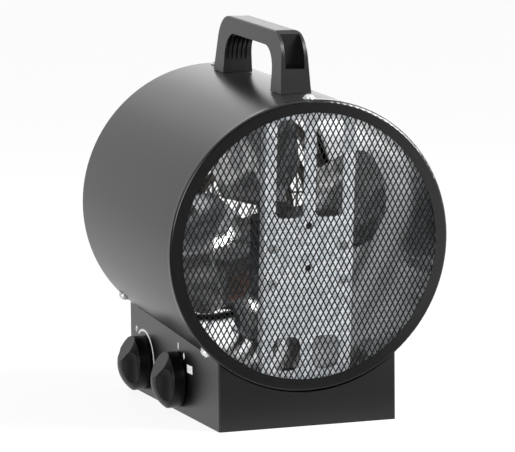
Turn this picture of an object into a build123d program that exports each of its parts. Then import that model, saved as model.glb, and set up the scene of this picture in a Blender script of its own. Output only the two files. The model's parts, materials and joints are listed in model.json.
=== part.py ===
"""Portable round fan heater: a tilted sheet-metal drum on a box base, with its motor, fan and heating rods.

Millimetres. +Z is up, -Y is the open mesh end where the air goes in, -X is the side with the two knobs.
The origin is the middle of the base's underside. The drum, and all that is in it or on it, is built in
drum places: x across, s along the drum's axis (towards the outlet) and h square to it, up from the axis.
"""

import os
from math import asin, atan2, ceil, cos, degrees, radians, sin, sqrt

from build123d import *

# Drum: a rolled sheet tube, tipped so that the outlet end is higher
CASING_RADIUS = 105.0
CASING_WALL = 0.8
DRUM_LENGTH = 218.7
DRUM_TILT = 4.7
FLOOR_CLEARANCE = 34.3
DRUM_SETBACK = 4.0
SEAT_GAP = 0.3
SHEET_GAP = 0.1
SCREW_GAP = 0.1

# Bezel and mesh at the inlet end
BEZEL_SHEET = 0.7
BEZEL_FLANGE = 6.0
BEZEL_CORNER = 2.0
BEZEL_FACE = 9.3
MESH_THICKNESS = 1.0
MESH_PITCH_X = 10.4
MESH_PITCH_H = 19.6
MESH_STRAND = 1.3
MESH_MARGIN = 1.5
TAB_WIDTH = 12.0
TAB_THICKNESS = 1.0
TAB_REACH = 17.0
RETAINER_WIDTH = 5.0
RETAINER_THICKNESS = 2.3

# Liner: a bright inner tube that keeps the casing cool
LINER_AIR_GAP = 6.0
LINER_WALL = 0.6
LINER_END_GAP = 9.0

# Screws that hold bezel, liner and hoop to the casing, three at each end
CASING_SCREW_ANGLES = (90.0, 225.0, 315.0)
CASING_SCREW_INSET = 10.9
CASING_SCREW_SHANK = 1.9
CASING_SCREW_FLANGE = 4.9
CASING_SCREW_FLANGE_THICK = 0.8
CASING_SCREW_DOME = 3.9
CASING_SCREW_HEAD = 3.4
CASING_SCREW_REACH = 9.0
SPACER_RADIUS = 4.5

# Motor bracket: a pressed plate across the inlet, with four windows
BRACKET_THICKNESS = 1.2
BRACKET_WIDTH = 68.0
BRACKET_SETBACK = 1.0
BRACKET_FLANGE = 8.0
BRACKET_FLANGE_INSET = 10.4
BRACKET_TAB_HALF = 27.0
BRACKET_TAB_REACH = 12.0
WINDOW_WIDTH = 21.0
WINDOW_WEB = 9.0
WINDOW_END_INSET = 7.4
UPPER_WINDOW_START = 20.5
UPPER_WINDOW_CORNER = 5.0
LOWER_WINDOW_START = 66.0
LOWER_WINDOW_CORNER = 7.0
SIGHT_HOLE_HEIGHTS = (14.5, -16.5)
SIGHT_HOLE_RADIUS = 2.5
PIN_HOLE = (3.5, -25.0)
PIN_HOLE_RADIUS = 1.0
RIVET_RADIUS = 1.6
RIVET_HEAD = 3.0
RIVET_HEAD_THICK = 1.0
RIVET_SPREAD = 18.0
RIVET_INSET = 7.5

# Motor: a shaded-pole motor, its coil on the lower leg of the stack
STACK_HALF_WIDTH = 33.0
STACK_TOP = 19.0
STACK_BOTTOM = -42.0
STACK_LENGTH = 22.0
STACK_GAP = 8.8
STACK_CORNER = 3.0
POLE_BORE = 12.5
ROTOR_AIR_GAP = 0.5
COIL_LEG = 11.0
COIL_WINDOW = 11.0
COIL_HALF_WIDTH = 19.0
COIL_BUILD = 7.5
COIL_GAP = 0.3
SHAFT_RADIUS = 3.0
SHAFT_LENGTH = 80.0
RUNNING_GAP = 0.03
MOTOR_SCREW_X = 27.0
MOTOR_SCREW_HEIGHTS = (-1.2, -26.3)
MOTOR_SCREW_SHANK = 1.9
MOTOR_SCREW_HEAD = 3.4
MOTOR_SCREW_HEAD_THICK = 1.8
MOTOR_NUT_RADIUS = 3.8
MOTOR_NUT_THICK = 2.4
BRIDGE_HALF_WIDTH = 31.5
BRIDGE_HALF_HEIGHT = 8.0
BRIDGE_FOOT = 11.0
BRIDGE_THICKNESS = 1.6
BRIDGE_STANDOFF = 3.4
BUSH_RADIUS = 5.0
BUSH_LENGTH = 7.0
BOSS_RADIUS = 7.5

# Fan: one aluminium stamping on a turned hub
FAN_BLADES = 4
FAN_TIP_GAP = 10.4
FAN_SETBACK = 32.0
FAN_SHEET = 1.2
FAN_DISC = 21.0
FAN_ROOT = 15.0
FAN_PITCH = 24.0
FAN_PHASE = 12.0
BLADE_CHORD = 100.0
BLADE_ROOT_CHORD = 30.0
BLADE_CAMBER_RADIUS = 110.0
BLADE_CORNER = 24.0
BLADE_NECK = 36.0
HUB_RADIUS = 9.0
HUB_LENGTH = 12.0
FAN_NUT_RADIUS = 5.5
FAN_NUT_LENGTH = 4.0

# Heating rods: stainless sheaths bent to open rings, on a plate at the liner's floor
ROD_RADIUS = 3.25
ROD_RING_RADII = (38.0, 58.0, 78.0)
ROD_LEG_OFFSETS = (7.0, 15.0, 23.0)
ROD_STEP = 12.0
ROD_OUTLET_GAP = 51.3
ROD_TURN = 11.0
ROD_END_INSET = 1.0
ROD_HOLE_GAP = 0.3
TERMINAL_RADIUS = 1.6
TERMINAL_LENGTH = 9.0
TERMINAL_NUT_RADIUS = 3.4
TERMINAL_NUT_LENGTH = 3.0
ROD_PLATE_RISE = 1.0
ROD_PLATE_THICKNESS = 1.2
ROD_PLATE_HALF = 30.0
ROD_PLATE_MARGIN = 9.0
ROD_SLOT_GAP = 0.5
ROD_LEAN = 20.0
CERAMIC_RADIUS = 3.85
CERAMIC_COLLAR = 5.0
CERAMIC_COLLAR_THICK = 2.4
CERAMIC_LENGTH = 6.0
CUTOUT_ANGLE = -55.0
CUTOUT_SETBACK = 28.0
CUTOUT_RADIUS = 8.0
CUTOUT_DEPTH = 7.0
CUTOUT_EAR = (24.0, 9.0, 1.0)

# Outlet end: a hoop in the casing and a welded wire guard
HOOP_THICKNESS = 1.0
HOOP_REACH = 18.0
HOOP_LIP = 8.5
GUARD_WIRE = 0.95
GUARD_RINGS = 8
GUARD_OVERLAP = 0.4
GUARD_SPOKES = 8
GUARD_WELD = 0.4

# Handle: one hollow moulding along the top of the drum
HANDLE_FOOT = 73.8
HANDLE_SHOULDER = 65.5
HANDLE_RISE = 43.3
HANDLE_ROUND = 21.0
HANDLE_GAP_HALF = 51.3
HANDLE_GRIP = 12.0
HANDLE_GAP_ROUND = 18.0
HANDLE_FOOT_HALF = 12.1
HANDLE_TOP_HALF = 9.2
HANDLE_EDGE = 1.2
POCKET_HALF = 7.3
POCKET_RISE = 17.4
POCKET_DEPTH = 17.0
RIB_COUNT = 5
RIB_PITCH = 3.6
RIB_WIDTH = 1.5
RIB_PROUD = 1.4
RIB_START = 11.0
RIB_RUN = 14.0
HANDLE_SCREW_PLACE = 61.5
HANDLE_SCREW_SHANK = 2.4
HANDLE_SCREW_HEAD = 4.2
HANDLE_SCREW_HEAD_THICK = 2.6
HANDLE_SCREW_REACH = 15.0

# Base: a folded sheet box, cut to the drum, with a plate screwed in from below
BASE_WIDTH = 136.0
BASE_LENGTH = 209.5
BASE_SHEET = 1.0
BASE_CORNER = 1.6
BASE_LIP = 12.0
PLATE_THICKNESS = 1.5
PLATE_GAP = 0.2
PLATE_SCREW_INSET = 9.0
PLATE_SCREW_SHANK = 1.5
PLATE_SCREW_HEAD = 2.9
PLATE_SCREW_HEAD_DEEP = 1.4
PLATE_SCREW_LENGTH = 6.0
SADDLE_WIDTH = 18.0
SADDLE_SHEET = 1.2
SADDLE_INSET = 33.4
SADDLE_SCREW_ANGLE = 24.0
SADDLE_SCREW_SHANK = 1.9
SADDLE_SCREW_HEAD = 3.6
SADDLE_SCREW_HEAD_THICK = 2.2
SADDLE_SCREW_REACH = 4.6

# Way for the wires through liner and casing, in front of the motor
WIRE_SLOT_LENGTH = 17.5
WIRE_SLOT_WIDTH = 13.0
GROMMET_WALL = 2.0
GROMMET_FLANGE = 1.6
GROMMET_LIP = 1.2

# Controls on the -X wall
KNOB_HEIGHT = 24.4
THERMOSTAT_INSET = 34.45
CONTROL_SPACING = 84.0
KNOB_RADIUS = 20.9
KNOB_BODY = 9.0
KNOB_DOME = 10.5
KNOB_SLOPE_TOP = 1.2
KNOB_SLOPE_EDGE = -0.3
KNOB_SLOPE_REACH = 17.0
KNOB_GAP = 1.1
KNOB_SCOOP_RADIUS = 15.0
KNOB_SCOOP_RISE = 3.2
KNOB_SCOOP_OFFSET = 20.0
KNOB_SCOOP_PROUD = 15.6
KNOB_CAVITY_RADIUS = 14.0
KNOB_CAVITY_DEPTH = 4.5
KNOB_EDGE = 0.7
SPINDLE_RADIUS = 3.0
SPINDLE_FLAT = 1.6
SPINDLE_GRIP = 10.0
SPINDLE_INSIDE = 14.0
KNOB_BORE_GAP = 0.02
THREAD_BUSH_RADIUS = 4.9
THREAD_BUSH_LENGTH = 5.2
CONTROL_NUT_FLATS = 12.0
CONTROL_NUT_THICK = 2.0
THERMOSTAT_BOX = (22.0, 34.0, 26.0)
SELECTOR_DRUM_RADIUS = 17.0
SELECTOR_DRUM_DEPTH = 24.0
CONTROL_LUG = (7.0, 0.8, 6.3)
CONTROL_LUG_PITCH = 8.0
CONTROL_LUG_COUNT = 3

# Mains side, in the base
GLAND_X = 34.0
GLAND_HEIGHT = 24.0
GLAND_THREAD_RADIUS = 7.9
GLAND_FLATS = 22.0
GLAND_HEX_THICK = 5.0
GLAND_DOME_RADIUS = 9.8
GLAND_DOME_LENGTH = 11.0
GLAND_INSIDE = 9.0
GLAND_BORE = 4.2
GLAND_NUT_THICK = 4.0
GLAND_SEAL_THICK = 1.2
BLOCK_SIZE = (46.0, 20.0, 15.0)
BLOCK_X = 22.0
BLOCK_INSET = 42.75
BLOCK_WAYS = 5
BLOCK_WAY_PITCH = 8.4
BLOCK_CLAMP_RADIUS = 1.8
BLOCK_CLAMP_DEEP = 6.0
BLOCK_WIRE_RADIUS = 1.7
BLOCK_WIRE_HEIGHT = 4.5

# Worked out from the values above
CASING_INNER = CASING_RADIUS - CASING_WALL
AXIS_HEIGHT = CASING_RADIUS + FLOOR_CLEARANCE
LINER_RADIUS = CASING_RADIUS - LINER_AIR_GAP
LINER_INNER = LINER_RADIUS - LINER_WALL
INLET_FACE = -DRUM_LENGTH / 2
OUTLET_EDGE = DRUM_LENGTH / 2
BEZEL_BACK = INLET_FACE + BEZEL_SHEET
BEZEL_INNER = CASING_RADIUS + SHEET_GAP
BEZEL_RADIUS = BEZEL_INNER + BEZEL_SHEET
OPENING_RADIUS = BEZEL_RADIUS - BEZEL_FACE
CASING_START = BEZEL_BACK + BEZEL_CORNER - BEZEL_SHEET + SHEET_GAP
MESH_FRONT = BEZEL_BACK + SHEET_GAP
MESH_BACK = MESH_FRONT + MESH_THICKNESS
TAB_OUTER = CASING_INNER - SHEET_GAP
TAB_INNER = TAB_OUTER - TAB_THICKNESS
MESH_RADIUS = TAB_INNER - SHEET_GAP
RETAINER_FRONT = MESH_BACK + SHEET_GAP
RETAINER_BACK = RETAINER_FRONT + RETAINER_THICKNESS
LINER_START = RETAINER_BACK + SHEET_GAP
LINER_END = OUTLET_EDGE - LINER_END_GAP
SCREW_PLACES = (INLET_FACE + CASING_SCREW_INSET, OUTLET_EDGE - CASING_SCREW_INSET)
BRACKET_FRONT = LINER_START + BRACKET_SETBACK
BRACKET_BACK = BRACKET_FRONT + BRACKET_THICKNESS
BRACKET_RADIUS = LINER_INNER - SHEET_GAP
BRACKET_FLANGE_HALF = LINER_INNER - BRACKET_FLANGE_INSET
WINDOW_END = LINER_INNER - WINDOW_END_INSET
STACK_FRONT = BRACKET_BACK + STACK_GAP
STACK_BACK = STACK_FRONT + STACK_LENGTH
ROTOR_RADIUS = POLE_BORE - ROTOR_AIR_GAP
COIL_LEG_TOP = STACK_BOTTOM + COIL_LEG
FAN_RADIUS = LINER_INNER - FAN_TIP_GAP
FAN_PLACE = STACK_BACK + FAN_SETBACK
ROD_PLACES = [OUTLET_EDGE - ROD_OUTLET_GAP - (2 - number) * ROD_STEP for number in range(3)]
ROD_RINGS = list(zip(ROD_RING_RADII, ROD_PLACES, ROD_LEG_OFFSETS))
ROD_END = ROD_END_INSET - CASING_RADIUS
ROD_PLATE_HEIGHT = ROD_PLATE_RISE - sqrt(LINER_INNER**2 - ROD_PLATE_HALF**2)
CUTOUT_PLACE = ROD_PLACES[0] - CUTOUT_SETBACK
GUARD_RADIUS = TAB_OUTER - HOOP_LIP + GUARD_OVERLAP
HANDLE_TOP = CASING_RADIUS + HANDLE_RISE
HANDLE_GAP_TOP = HANDLE_TOP - HANDLE_GRIP
POCKET_FLOOR = CASING_RADIUS + POCKET_RISE
SADDLE_PLACE = DRUM_LENGTH / 2 - SADDLE_INSET
WIRE_SLOT_PLACE = BRACKET_BACK + BRACKET_TAB_REACH + GROMMET_FLANGE + SHEET_GAP + WIRE_SLOT_LENGTH / 2
BASE_WALL_X = BASE_WIDTH / 2
BASE_WALL_Y = BASE_LENGTH / 2
CONTROL_FACE = BASE_WALL_X - BASE_SHEET - SHEET_GAP
THERMOSTAT_Y = BASE_WALL_Y - THERMOSTAT_INSET
SELECTOR_Y = THERMOSTAT_Y - CONTROL_SPACING
BLOCK_PLACE = (BLOCK_X, BASE_WALL_Y - BLOCK_INSET)
KNOB_BACK = BASE_WALL_X + KNOB_GAP
ROD_PLATE_SPAN = (
    ROD_RINGS[0][1] - ROD_PLATE_MARGIN,
    ROD_RINGS[-1][1] + ROD_PLATE_MARGIN,
)
BOTTOM = (Align.CENTER, Align.CENTER, Align.MIN)

DRUM = Location((0, -DRUM_SETBACK, AXIS_HEIGHT), (DRUM_TILT, 0, 0))


# Helpers


def group(shapes):
    """Separate solids that share one node."""
    return Compound(children=[solid for shape in shapes for solid in shape.solids()])


def slab(sketch, start, end):
    """A sketch in x and h, seen from the inlet, made solid from one place on the axis to another."""
    plane = Plane(origin=(0, end, 0), x_dir=(1, 0, 0), z_dir=(0, -1, 0))
    return extrude(plane * sketch, end - start)


def tube(outer, inner, start, end):
    return slab(Circle(outer) - Circle(inner), start, end)


def block(low, high):
    """A box from its lowest to its highest corner."""
    size = [b - a for a, b in zip(low, high)]
    return Pos(*low) * Box(*size, align=(Align.MIN, Align.MIN, Align.MIN))


def radial(angle, place, distance):
    """Where a piece stands that points out of the drum: angle from +x towards +h, place on the axis."""
    across, up = cos(radians(angle)), sin(radians(angle))
    at = (distance * across, place, distance * up)
    return Plane(origin=at, x_dir=(0, 1, 0), z_dir=(across, 0, up)).location


def rod(radius, low, high):
    """An upright cylinder between two heights of its own axis."""
    return Pos(0, 0, low) * Cylinder(radius, high - low, align=BOTTOM)


def pan_head(radius, thickness):
    """A screw head on z = 0, its upper edge rounded."""
    head = rod(radius, 0, thickness)
    return fillet(head.edges().sort_by(Axis.Z)[-1], thickness * 0.45)


def hexagon(across_flats, thickness):
    return extrude(RegularPolygon(across_flats / 2, 6, major_radius=False), thickness)


def drum_cylinder(radius):
    return slab(Circle(radius), -DRUM_LENGTH, DRUM_LENGTH)


def at_casing_screws(shape_at):
    return [shape_at(angle, place) for place in SCREW_PLACES for angle in CASING_SCREW_ANGLES]


def screw_holes(radius, inner, outer):
    """Cutters for the six casing screws, from one radius of the drum to another."""
    return at_casing_screws(lambda angle, place: radial(angle, place, 0) * rod(radius, inner, outer))


def wire_slot(extra):
    """Cutter for the way of the wires, down through the drum's floor."""
    shape = SlotOverall(WIRE_SLOT_LENGTH + 2 * extra, WIRE_SLOT_WIDTH + 2 * extra)
    down = Plane(origin=(0, WIRE_SLOT_PLACE, 0), x_dir=(0, 1, 0), z_dir=(0, 0, -1))
    return extrude(down * shape, CASING_RADIUS * 1.1) - drum_cylinder(LINER_INNER / 2)


def at_rods(shape):
    """Turned round the drum's axis, so that the legs leave through the floor beside its middle."""
    return Rot(0, -ROD_LEAN, 0) * shape


def rod_slot():
    """Cutter for the way of the rods' legs and their ceramics, out through the drum's floor."""
    margin = CERAMIC_COLLAR + ROD_SLOT_GAP
    half = ROD_LEG_OFFSETS[-1] + margin
    low = (-half, ROD_PLACES[0] - margin, -CASING_RADIUS * 1.1)
    return at_rods(block(low, (half, ROD_PLACES[-1] + margin, -LINER_INNER / 2)))


def saddle_screw_angles():
    return (270.0 - SADDLE_SCREW_ANGLE, 270.0 + SADDLE_SCREW_ANGLE)


# Casing, bezel and mesh


def casing():
    body = tube(CASING_RADIUS, CASING_INNER, CASING_START, OUTLET_EDGE)
    cuts = screw_holes(CASING_SCREW_SHANK + SCREW_GAP, CASING_INNER - 1, CASING_RADIUS + 1)
    for place in (-HANDLE_SCREW_PLACE, HANDLE_SCREW_PLACE):
        hole = rod(HANDLE_SCREW_SHANK + SCREW_GAP, CASING_INNER - 1, CASING_RADIUS + 1)
        cuts.append(radial(90, place, 0) * hole)
    for place in (-SADDLE_PLACE, SADDLE_PLACE):
        for angle in saddle_screw_angles():
            hole = rod(SADDLE_SCREW_SHANK + SCREW_GAP, CASING_INNER - 1, CASING_RADIUS + 1)
            cuts.append(radial(angle, place, 0) * hole)
    return body - cuts - wire_slot(0) - rod_slot()


def front_bezel():
    """A shallow pressed cap over the casing's edge, with three tabs that run in under the screws."""
    outer = slab(Circle(BEZEL_RADIUS), INLET_FACE, INLET_FACE + BEZEL_FLANGE)
    outer = fillet(outer.edges().sort_by(Axis.Y)[0], BEZEL_CORNER)
    inner = slab(Circle(BEZEL_INNER), BEZEL_BACK, INLET_FACE + 2 * BEZEL_FLANGE)
    inner = fillet(inner.edges().sort_by(Axis.Y)[0], BEZEL_CORNER - BEZEL_SHEET)
    cap = outer - inner - slab(Circle(OPENING_RADIUS), INLET_FACE - 1, BEZEL_BACK + 1)
    hoop = tube(TAB_OUTER, TAB_INNER, BEZEL_BACK - BEZEL_SHEET / 2, INLET_FACE + TAB_REACH)
    for angle in CASING_SCREW_ANGLES:
        strip = radial(angle, INLET_FACE, 0) * Pos(TAB_REACH / 2, 0, 0) * Box(
            2 * TAB_REACH, TAB_WIDTH, CASING_RADIUS, align=BOTTOM
        )
        cap += hoop & strip
    return cap - screw_holes(CASING_SCREW_SHANK + SCREW_GAP, TAB_INNER - 1, TAB_OUTER + 1)


def mesh_diamond(x, h):
    """One opening of the expanded mesh, a strand's width smaller than its share of the sheet."""
    half_x, half_h = MESH_PITCH_X / 2, MESH_PITCH_H / 2
    shrink = 1 - MESH_STRAND * sqrt(half_x**2 + half_h**2) / (2 * half_x * half_h)
    dx, dh = half_x * shrink, half_h * shrink
    return Wire.make_polygon([(x + dx, h), (x, h + dh), (x - dx, h), (x, h - dh)], close=True)


def front_mesh():
    limit = MESH_RADIUS - MESH_MARGIN
    columns, rows = ceil(limit / MESH_PITCH_X), ceil(limit / MESH_PITCH_H)
    openings = []
    for column in range(-2 * columns, 2 * columns + 1):
        for row in range(-2 * rows, 2 * rows + 1):
            x, h = column * MESH_PITCH_X / 2, row * MESH_PITCH_H / 2
            reach = max(abs(x) + MESH_PITCH_X / 2, 0), max(abs(h) + MESH_PITCH_H / 2, 0)
            fits = max(reach[0] ** 2 + h**2, x**2 + reach[1] ** 2) < limit**2
            if (column + row) % 2 == 0 and fits:
                openings.append(mesh_diamond(x, h))
    face = Face(Wire.make_circle(MESH_RADIUS), openings)
    return slab(Sketch() + face, MESH_FRONT, MESH_BACK)


def mesh_retainer():
    return tube(MESH_RADIUS, MESH_RADIUS - RETAINER_WIDTH, RETAINER_FRONT, RETAINER_BACK)


# Liner, and the screws and spacers that hold it


def rivet_places():
    return [
        (side * up, up)
        for up in (1, -1)
        for side in (RIVET_SPREAD, -RIVET_SPREAD)
    ]


def rivet_angle(across, up):
    return degrees(atan2(up * sqrt(LINER_INNER**2 - across**2), across))


def inner_liner():
    body = tube(LINER_RADIUS, LINER_INNER, LINER_START, LINER_END)
    cuts = screw_holes(CASING_SCREW_SHANK + SCREW_GAP, LINER_INNER - 1, LINER_RADIUS + 1)
    for across, up in rivet_places():
        hole = rod(RIVET_RADIUS + SCREW_GAP / 2, LINER_INNER - 1, LINER_RADIUS + 1)
        cuts.append(radial(rivet_angle(across, up), BRACKET_BACK + RIVET_INSET, 0) * hole)
    return body - cuts - wire_slot(0) - rod_slot()


def casing_screws():
    flange = rod(CASING_SCREW_FLANGE, 0, CASING_SCREW_FLANGE_THICK)
    dome = rod(CASING_SCREW_DOME, 0, CASING_SCREW_HEAD)
    dome = fillet(dome.edges().sort_by(Axis.Z)[-1], CASING_SCREW_HEAD * 0.6)
    screw = flange + dome + rod(CASING_SCREW_SHANK, -CASING_SCREW_REACH, 0)
    seat = CASING_RADIUS + SHEET_GAP / 2
    return group(at_casing_screws(lambda angle, place: radial(angle, place, seat) * screw))


def liner_spacers():
    """Short tubes between the liner and the tabs of bezel and hoop."""
    top = sqrt(TAB_INNER**2 - SPACER_RADIUS**2) - SHEET_GAP / 2
    ring = rod(SPACER_RADIUS, LINER_RADIUS + SHEET_GAP / 2, top)
    ring -= rod(CASING_SCREW_SHANK + SCREW_GAP, 0, CASING_RADIUS)
    return group(at_casing_screws(lambda angle, place: radial(angle, place, 0) * ring))


# Bracket and motor


def motor_bracket():
    outline = Circle(BRACKET_RADIUS) & Rectangle(BRACKET_WIDTH, 2 * BRACKET_RADIUS)
    for side in (-1, 1):
        x = side * (WINDOW_WEB + WINDOW_WIDTH) / 2
        for low, high, corner in (
            (UPPER_WINDOW_START, WINDOW_END, UPPER_WINDOW_CORNER),
            (-WINDOW_END, -LOWER_WINDOW_START, LOWER_WINDOW_CORNER),
        ):
            window = RectangleRounded(WINDOW_WIDTH, high - low, corner)
            outline -= Pos(x, (low + high) / 2) * window
        for h in MOTOR_SCREW_HEIGHTS:
            outline -= Pos(side * MOTOR_SCREW_X, h) * Circle(MOTOR_SCREW_SHANK + SCREW_GAP)
    for h in SIGHT_HOLE_HEIGHTS:
        outline -= Pos(0, h) * Circle(SIGHT_HOLE_RADIUS)
    outline -= Pos(*PIN_HOLE) * Circle(PIN_HOLE_RADIUS)
    plate = slab(outline, BRACKET_FRONT, BRACKET_BACK)
    tab_end = BRACKET_BACK + BRACKET_TAB_REACH
    tabs = tube(BRACKET_RADIUS, BRACKET_RADIUS - BRACKET_THICKNESS, BRACKET_BACK, tab_end)
    reach = (BRACKET_TAB_HALF, BRACKET_BACK + BRACKET_TAB_REACH, BRACKET_RADIUS)
    plate += tabs & block((-BRACKET_TAB_HALF, BRACKET_FRONT, -BRACKET_RADIUS), reach)
    for side in (-1, 1):
        x = sorted((side * BRACKET_WIDTH / 2, side * (BRACKET_WIDTH / 2 - BRACKET_THICKNESS)))
        low = (x[0], BRACKET_BACK, -BRACKET_FLANGE_HALF)
        plate += block(low, (x[1], BRACKET_BACK + BRACKET_FLANGE, BRACKET_FLANGE_HALF))
    for across, up in rivet_places():
        hole = rod(RIVET_RADIUS + SCREW_GAP / 2, BRACKET_RADIUS - 2 * BRACKET_THICKNESS, LINER_RADIUS)
        plate -= radial(rivet_angle(across, up), BRACKET_BACK + RIVET_INSET, 0) * hole
    return plate - screw_holes(CASING_SCREW_SHANK + SCREW_GAP, BRACKET_RADIUS * 0.9, LINER_RADIUS)


def bracket_rivets():
    seat = BRACKET_RADIUS - BRACKET_THICKNESS
    seat = sqrt(seat**2 - RIVET_HEAD**2) - SHEET_GAP / 2
    head = Pos(0, 0, seat) * Rot(180, 0, 0) * pan_head(RIVET_HEAD, RIVET_HEAD_THICK)
    tail = rod(RIVET_HEAD - 1, LINER_RADIUS + SHEET_GAP / 2, LINER_RADIUS + RIVET_HEAD_THICK)
    rivet = head + rod(RIVET_RADIUS, seat, LINER_RADIUS + RIVET_HEAD_THICK) + tail
    return group(
        radial(rivet_angle(across, up), BRACKET_BACK + RIVET_INSET, 0) * rivet
        for across, up in rivet_places()
    )


def motor_screw_places():
    return [(side * MOTOR_SCREW_X, h) for side in (-1, 1) for h in MOTOR_SCREW_HEIGHTS]


def stator_core():
    height = STACK_TOP - STACK_BOTTOM
    outline = Pos(0, (STACK_TOP + STACK_BOTTOM) / 2) * RectangleRounded(
        2 * STACK_HALF_WIDTH, height, STACK_CORNER
    )
    window = Rectangle(2 * COIL_HALF_WIDTH + 2, COIL_WINDOW)
    outline -= Pos(0, COIL_LEG_TOP + COIL_WINDOW / 2) * window
    outline -= Circle(POLE_BORE)
    for x, h in motor_screw_places():
        outline -= Pos(x, h) * Circle(MOTOR_SCREW_SHANK + SCREW_GAP)
    return slab(outline, STACK_FRONT, STACK_BACK)


def stator_coil():
    """The winding on its bobbin, a rounded loop round the stack's lower leg."""
    leg_low, leg_high = STACK_BOTTOM - COIL_GAP, COIL_LEG_TOP + COIL_GAP
    middle = (STACK_FRONT + STACK_BACK) / 2, (leg_low + leg_high) / 2
    size = STACK_LENGTH + 2 * COIL_GAP, leg_high - leg_low
    side = Plane(origin=(-COIL_HALF_WIDTH, *middle), x_dir=(0, 1, 0), z_dir=(1, 0, 0))
    loop = RectangleRounded(size[0] + 2 * COIL_BUILD, size[1] + 2 * COIL_BUILD, COIL_BUILD)
    return extrude(side * (loop - Rectangle(*size)), 2 * COIL_HALF_WIDTH)


def bridge_profile():
    strap = Rectangle(2 * BRIDGE_HALF_WIDTH, 2 * BRIDGE_HALF_HEIGHT)
    upper = MOTOR_SCREW_HEIGHTS[0]
    for side in (-1, 1):
        strap -= Pos(side * MOTOR_SCREW_X, upper) * Circle(MOTOR_SCREW_SHANK + SCREW_GAP)
    return strap


def bearing_bridge(face, outwards):
    """A strap across one face of the stack, on two feet, with a boss for the bush."""
    strap_at = sorted((face + outwards * BRIDGE_STANDOFF,
                       face + outwards * (BRIDGE_STANDOFF + BRIDGE_THICKNESS)))
    feet_at = sorted((face + outwards * SHEET_GAP / 2, face + outwards * BRIDGE_STANDOFF))
    bridge = slab(bridge_profile(), *strap_at)
    hollow = Rectangle(2 * (BRIDGE_HALF_WIDTH - BRIDGE_FOOT), 2 * BRIDGE_HALF_HEIGHT)
    bridge += slab(bridge_profile() - hollow, *feet_at)
    boss_at = sorted((face + outwards * 1.0, face + outwards * (1.0 + BUSH_LENGTH)))
    bridge += slab(Circle(BOSS_RADIUS), *boss_at)
    return bridge - slab(Circle(BUSH_RADIUS + RUNNING_GAP / 2), *boss_at)


def bearing(face, outwards):
    span = sorted((face + outwards * 1.0, face + outwards * (1.0 + BUSH_LENGTH)))
    return tube(BUSH_RADIUS, SHAFT_RADIUS + RUNNING_GAP, *span)


def motor_spacers():
    """Tubes that hold the motor off the plate: short ones on the strap, long ones on the stack."""
    ring = Circle(MOTOR_SCREW_HEAD + 0.4) - Circle(MOTOR_SCREW_SHANK + SCREW_GAP)
    strap_front = STACK_FRONT - BRIDGE_STANDOFF - BRIDGE_THICKNESS
    ends = (strap_front, STACK_FRONT)
    return group(
        slab(Pos(side * MOTOR_SCREW_X, h) * ring, BRACKET_BACK + SHEET_GAP / 2, end - SHEET_GAP / 2)
        for side in (-1, 1)
        for h, end in zip(MOTOR_SCREW_HEIGHTS, ends)
    )


def motor_screw_ends():
    """Where each height's nut seats: on the rear strap above, on the stack below."""
    strap_back = STACK_BACK + BRIDGE_STANDOFF + BRIDGE_THICKNESS
    return (strap_back + SHEET_GAP / 2, STACK_BACK + SHEET_GAP / 2)


def motor_screws():
    screws = []
    for side in (-1, 1):
        for h, seat in zip(MOTOR_SCREW_HEIGHTS, motor_screw_ends()):
            place = Plane(
                origin=(side * MOTOR_SCREW_X, BRACKET_FRONT - SHEET_GAP / 2, h),
                x_dir=(1, 0, 0),
                z_dir=(0, -1, 0),
            ).location
            length = seat + MOTOR_NUT_THICK + 1 - BRACKET_FRONT
            screw = pan_head(MOTOR_SCREW_HEAD, MOTOR_SCREW_HEAD_THICK)
            screws.append(place * (screw + rod(MOTOR_SCREW_SHANK, -length, 0)))
    return group(screws)


def motor_nuts():
    ring = RegularPolygon(MOTOR_NUT_RADIUS, 6) - Circle(MOTOR_SCREW_SHANK + SCREW_GAP / 2)
    return group(
        slab(Pos(side * MOTOR_SCREW_X, h) * ring, seat, seat + MOTOR_NUT_THICK)
        for side in (-1, 1)
        for h, seat in zip(MOTOR_SCREW_HEIGHTS, motor_screw_ends())
    )


def shaft_span():
    start = STACK_FRONT - 1.0 - BUSH_LENGTH + 0.6
    return start, start + SHAFT_LENGTH


def motor_shaft():
    shaft = slab(Circle(SHAFT_RADIUS), *shaft_span())
    return chamfer(shaft.edges(), SHAFT_RADIUS * 0.15)


def rotor_core():
    inset = 0.6
    return tube(ROTOR_RADIUS, SHAFT_RADIUS + SHEET_GAP / 10, STACK_FRONT + inset, STACK_BACK - inset)


# Fan


def fan_blade():
    """One cambered blade that points along +x, set at the fan's pitch and trimmed to its outline."""
    bow = BLADE_CAMBER_RADIUS
    arc = Circle(bow + FAN_SHEET / 2) - Circle(bow - FAN_SHEET / 2)
    strip = Pos(0, -bow) * arc & Rectangle(BLADE_CHORD * 2, BLADE_CHORD * 0.5)
    across = Plane(origin=(FAN_ROOT, 0, 0), x_dir=(0, 1, 0), z_dir=(1, 0, 0))
    band = extrude(across * strip, FAN_RADIUS)
    half, root = BLADE_CHORD / 2, BLADE_ROOT_CHORD / 2
    corners = [
        (FAN_ROOT, -root), (FAN_DISC + 2, -root), (BLADE_NECK, -half * 0.8), (FAN_RADIUS, -half),
        (FAN_RADIUS, half), (BLADE_NECK, half * 0.8), (FAN_DISC + 2, root), (FAN_ROOT, root),
    ]
    outline = Polygon(*corners, align=None)
    tips = outline.vertices().sort_by(Axis.X)[-2:]
    outline = fillet(tips, BLADE_CORNER)
    blade = band & extrude(outline, BLADE_CHORD, both=True)
    return blade & Cylinder(FAN_RADIUS, 3 * BLADE_CHORD)


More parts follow.
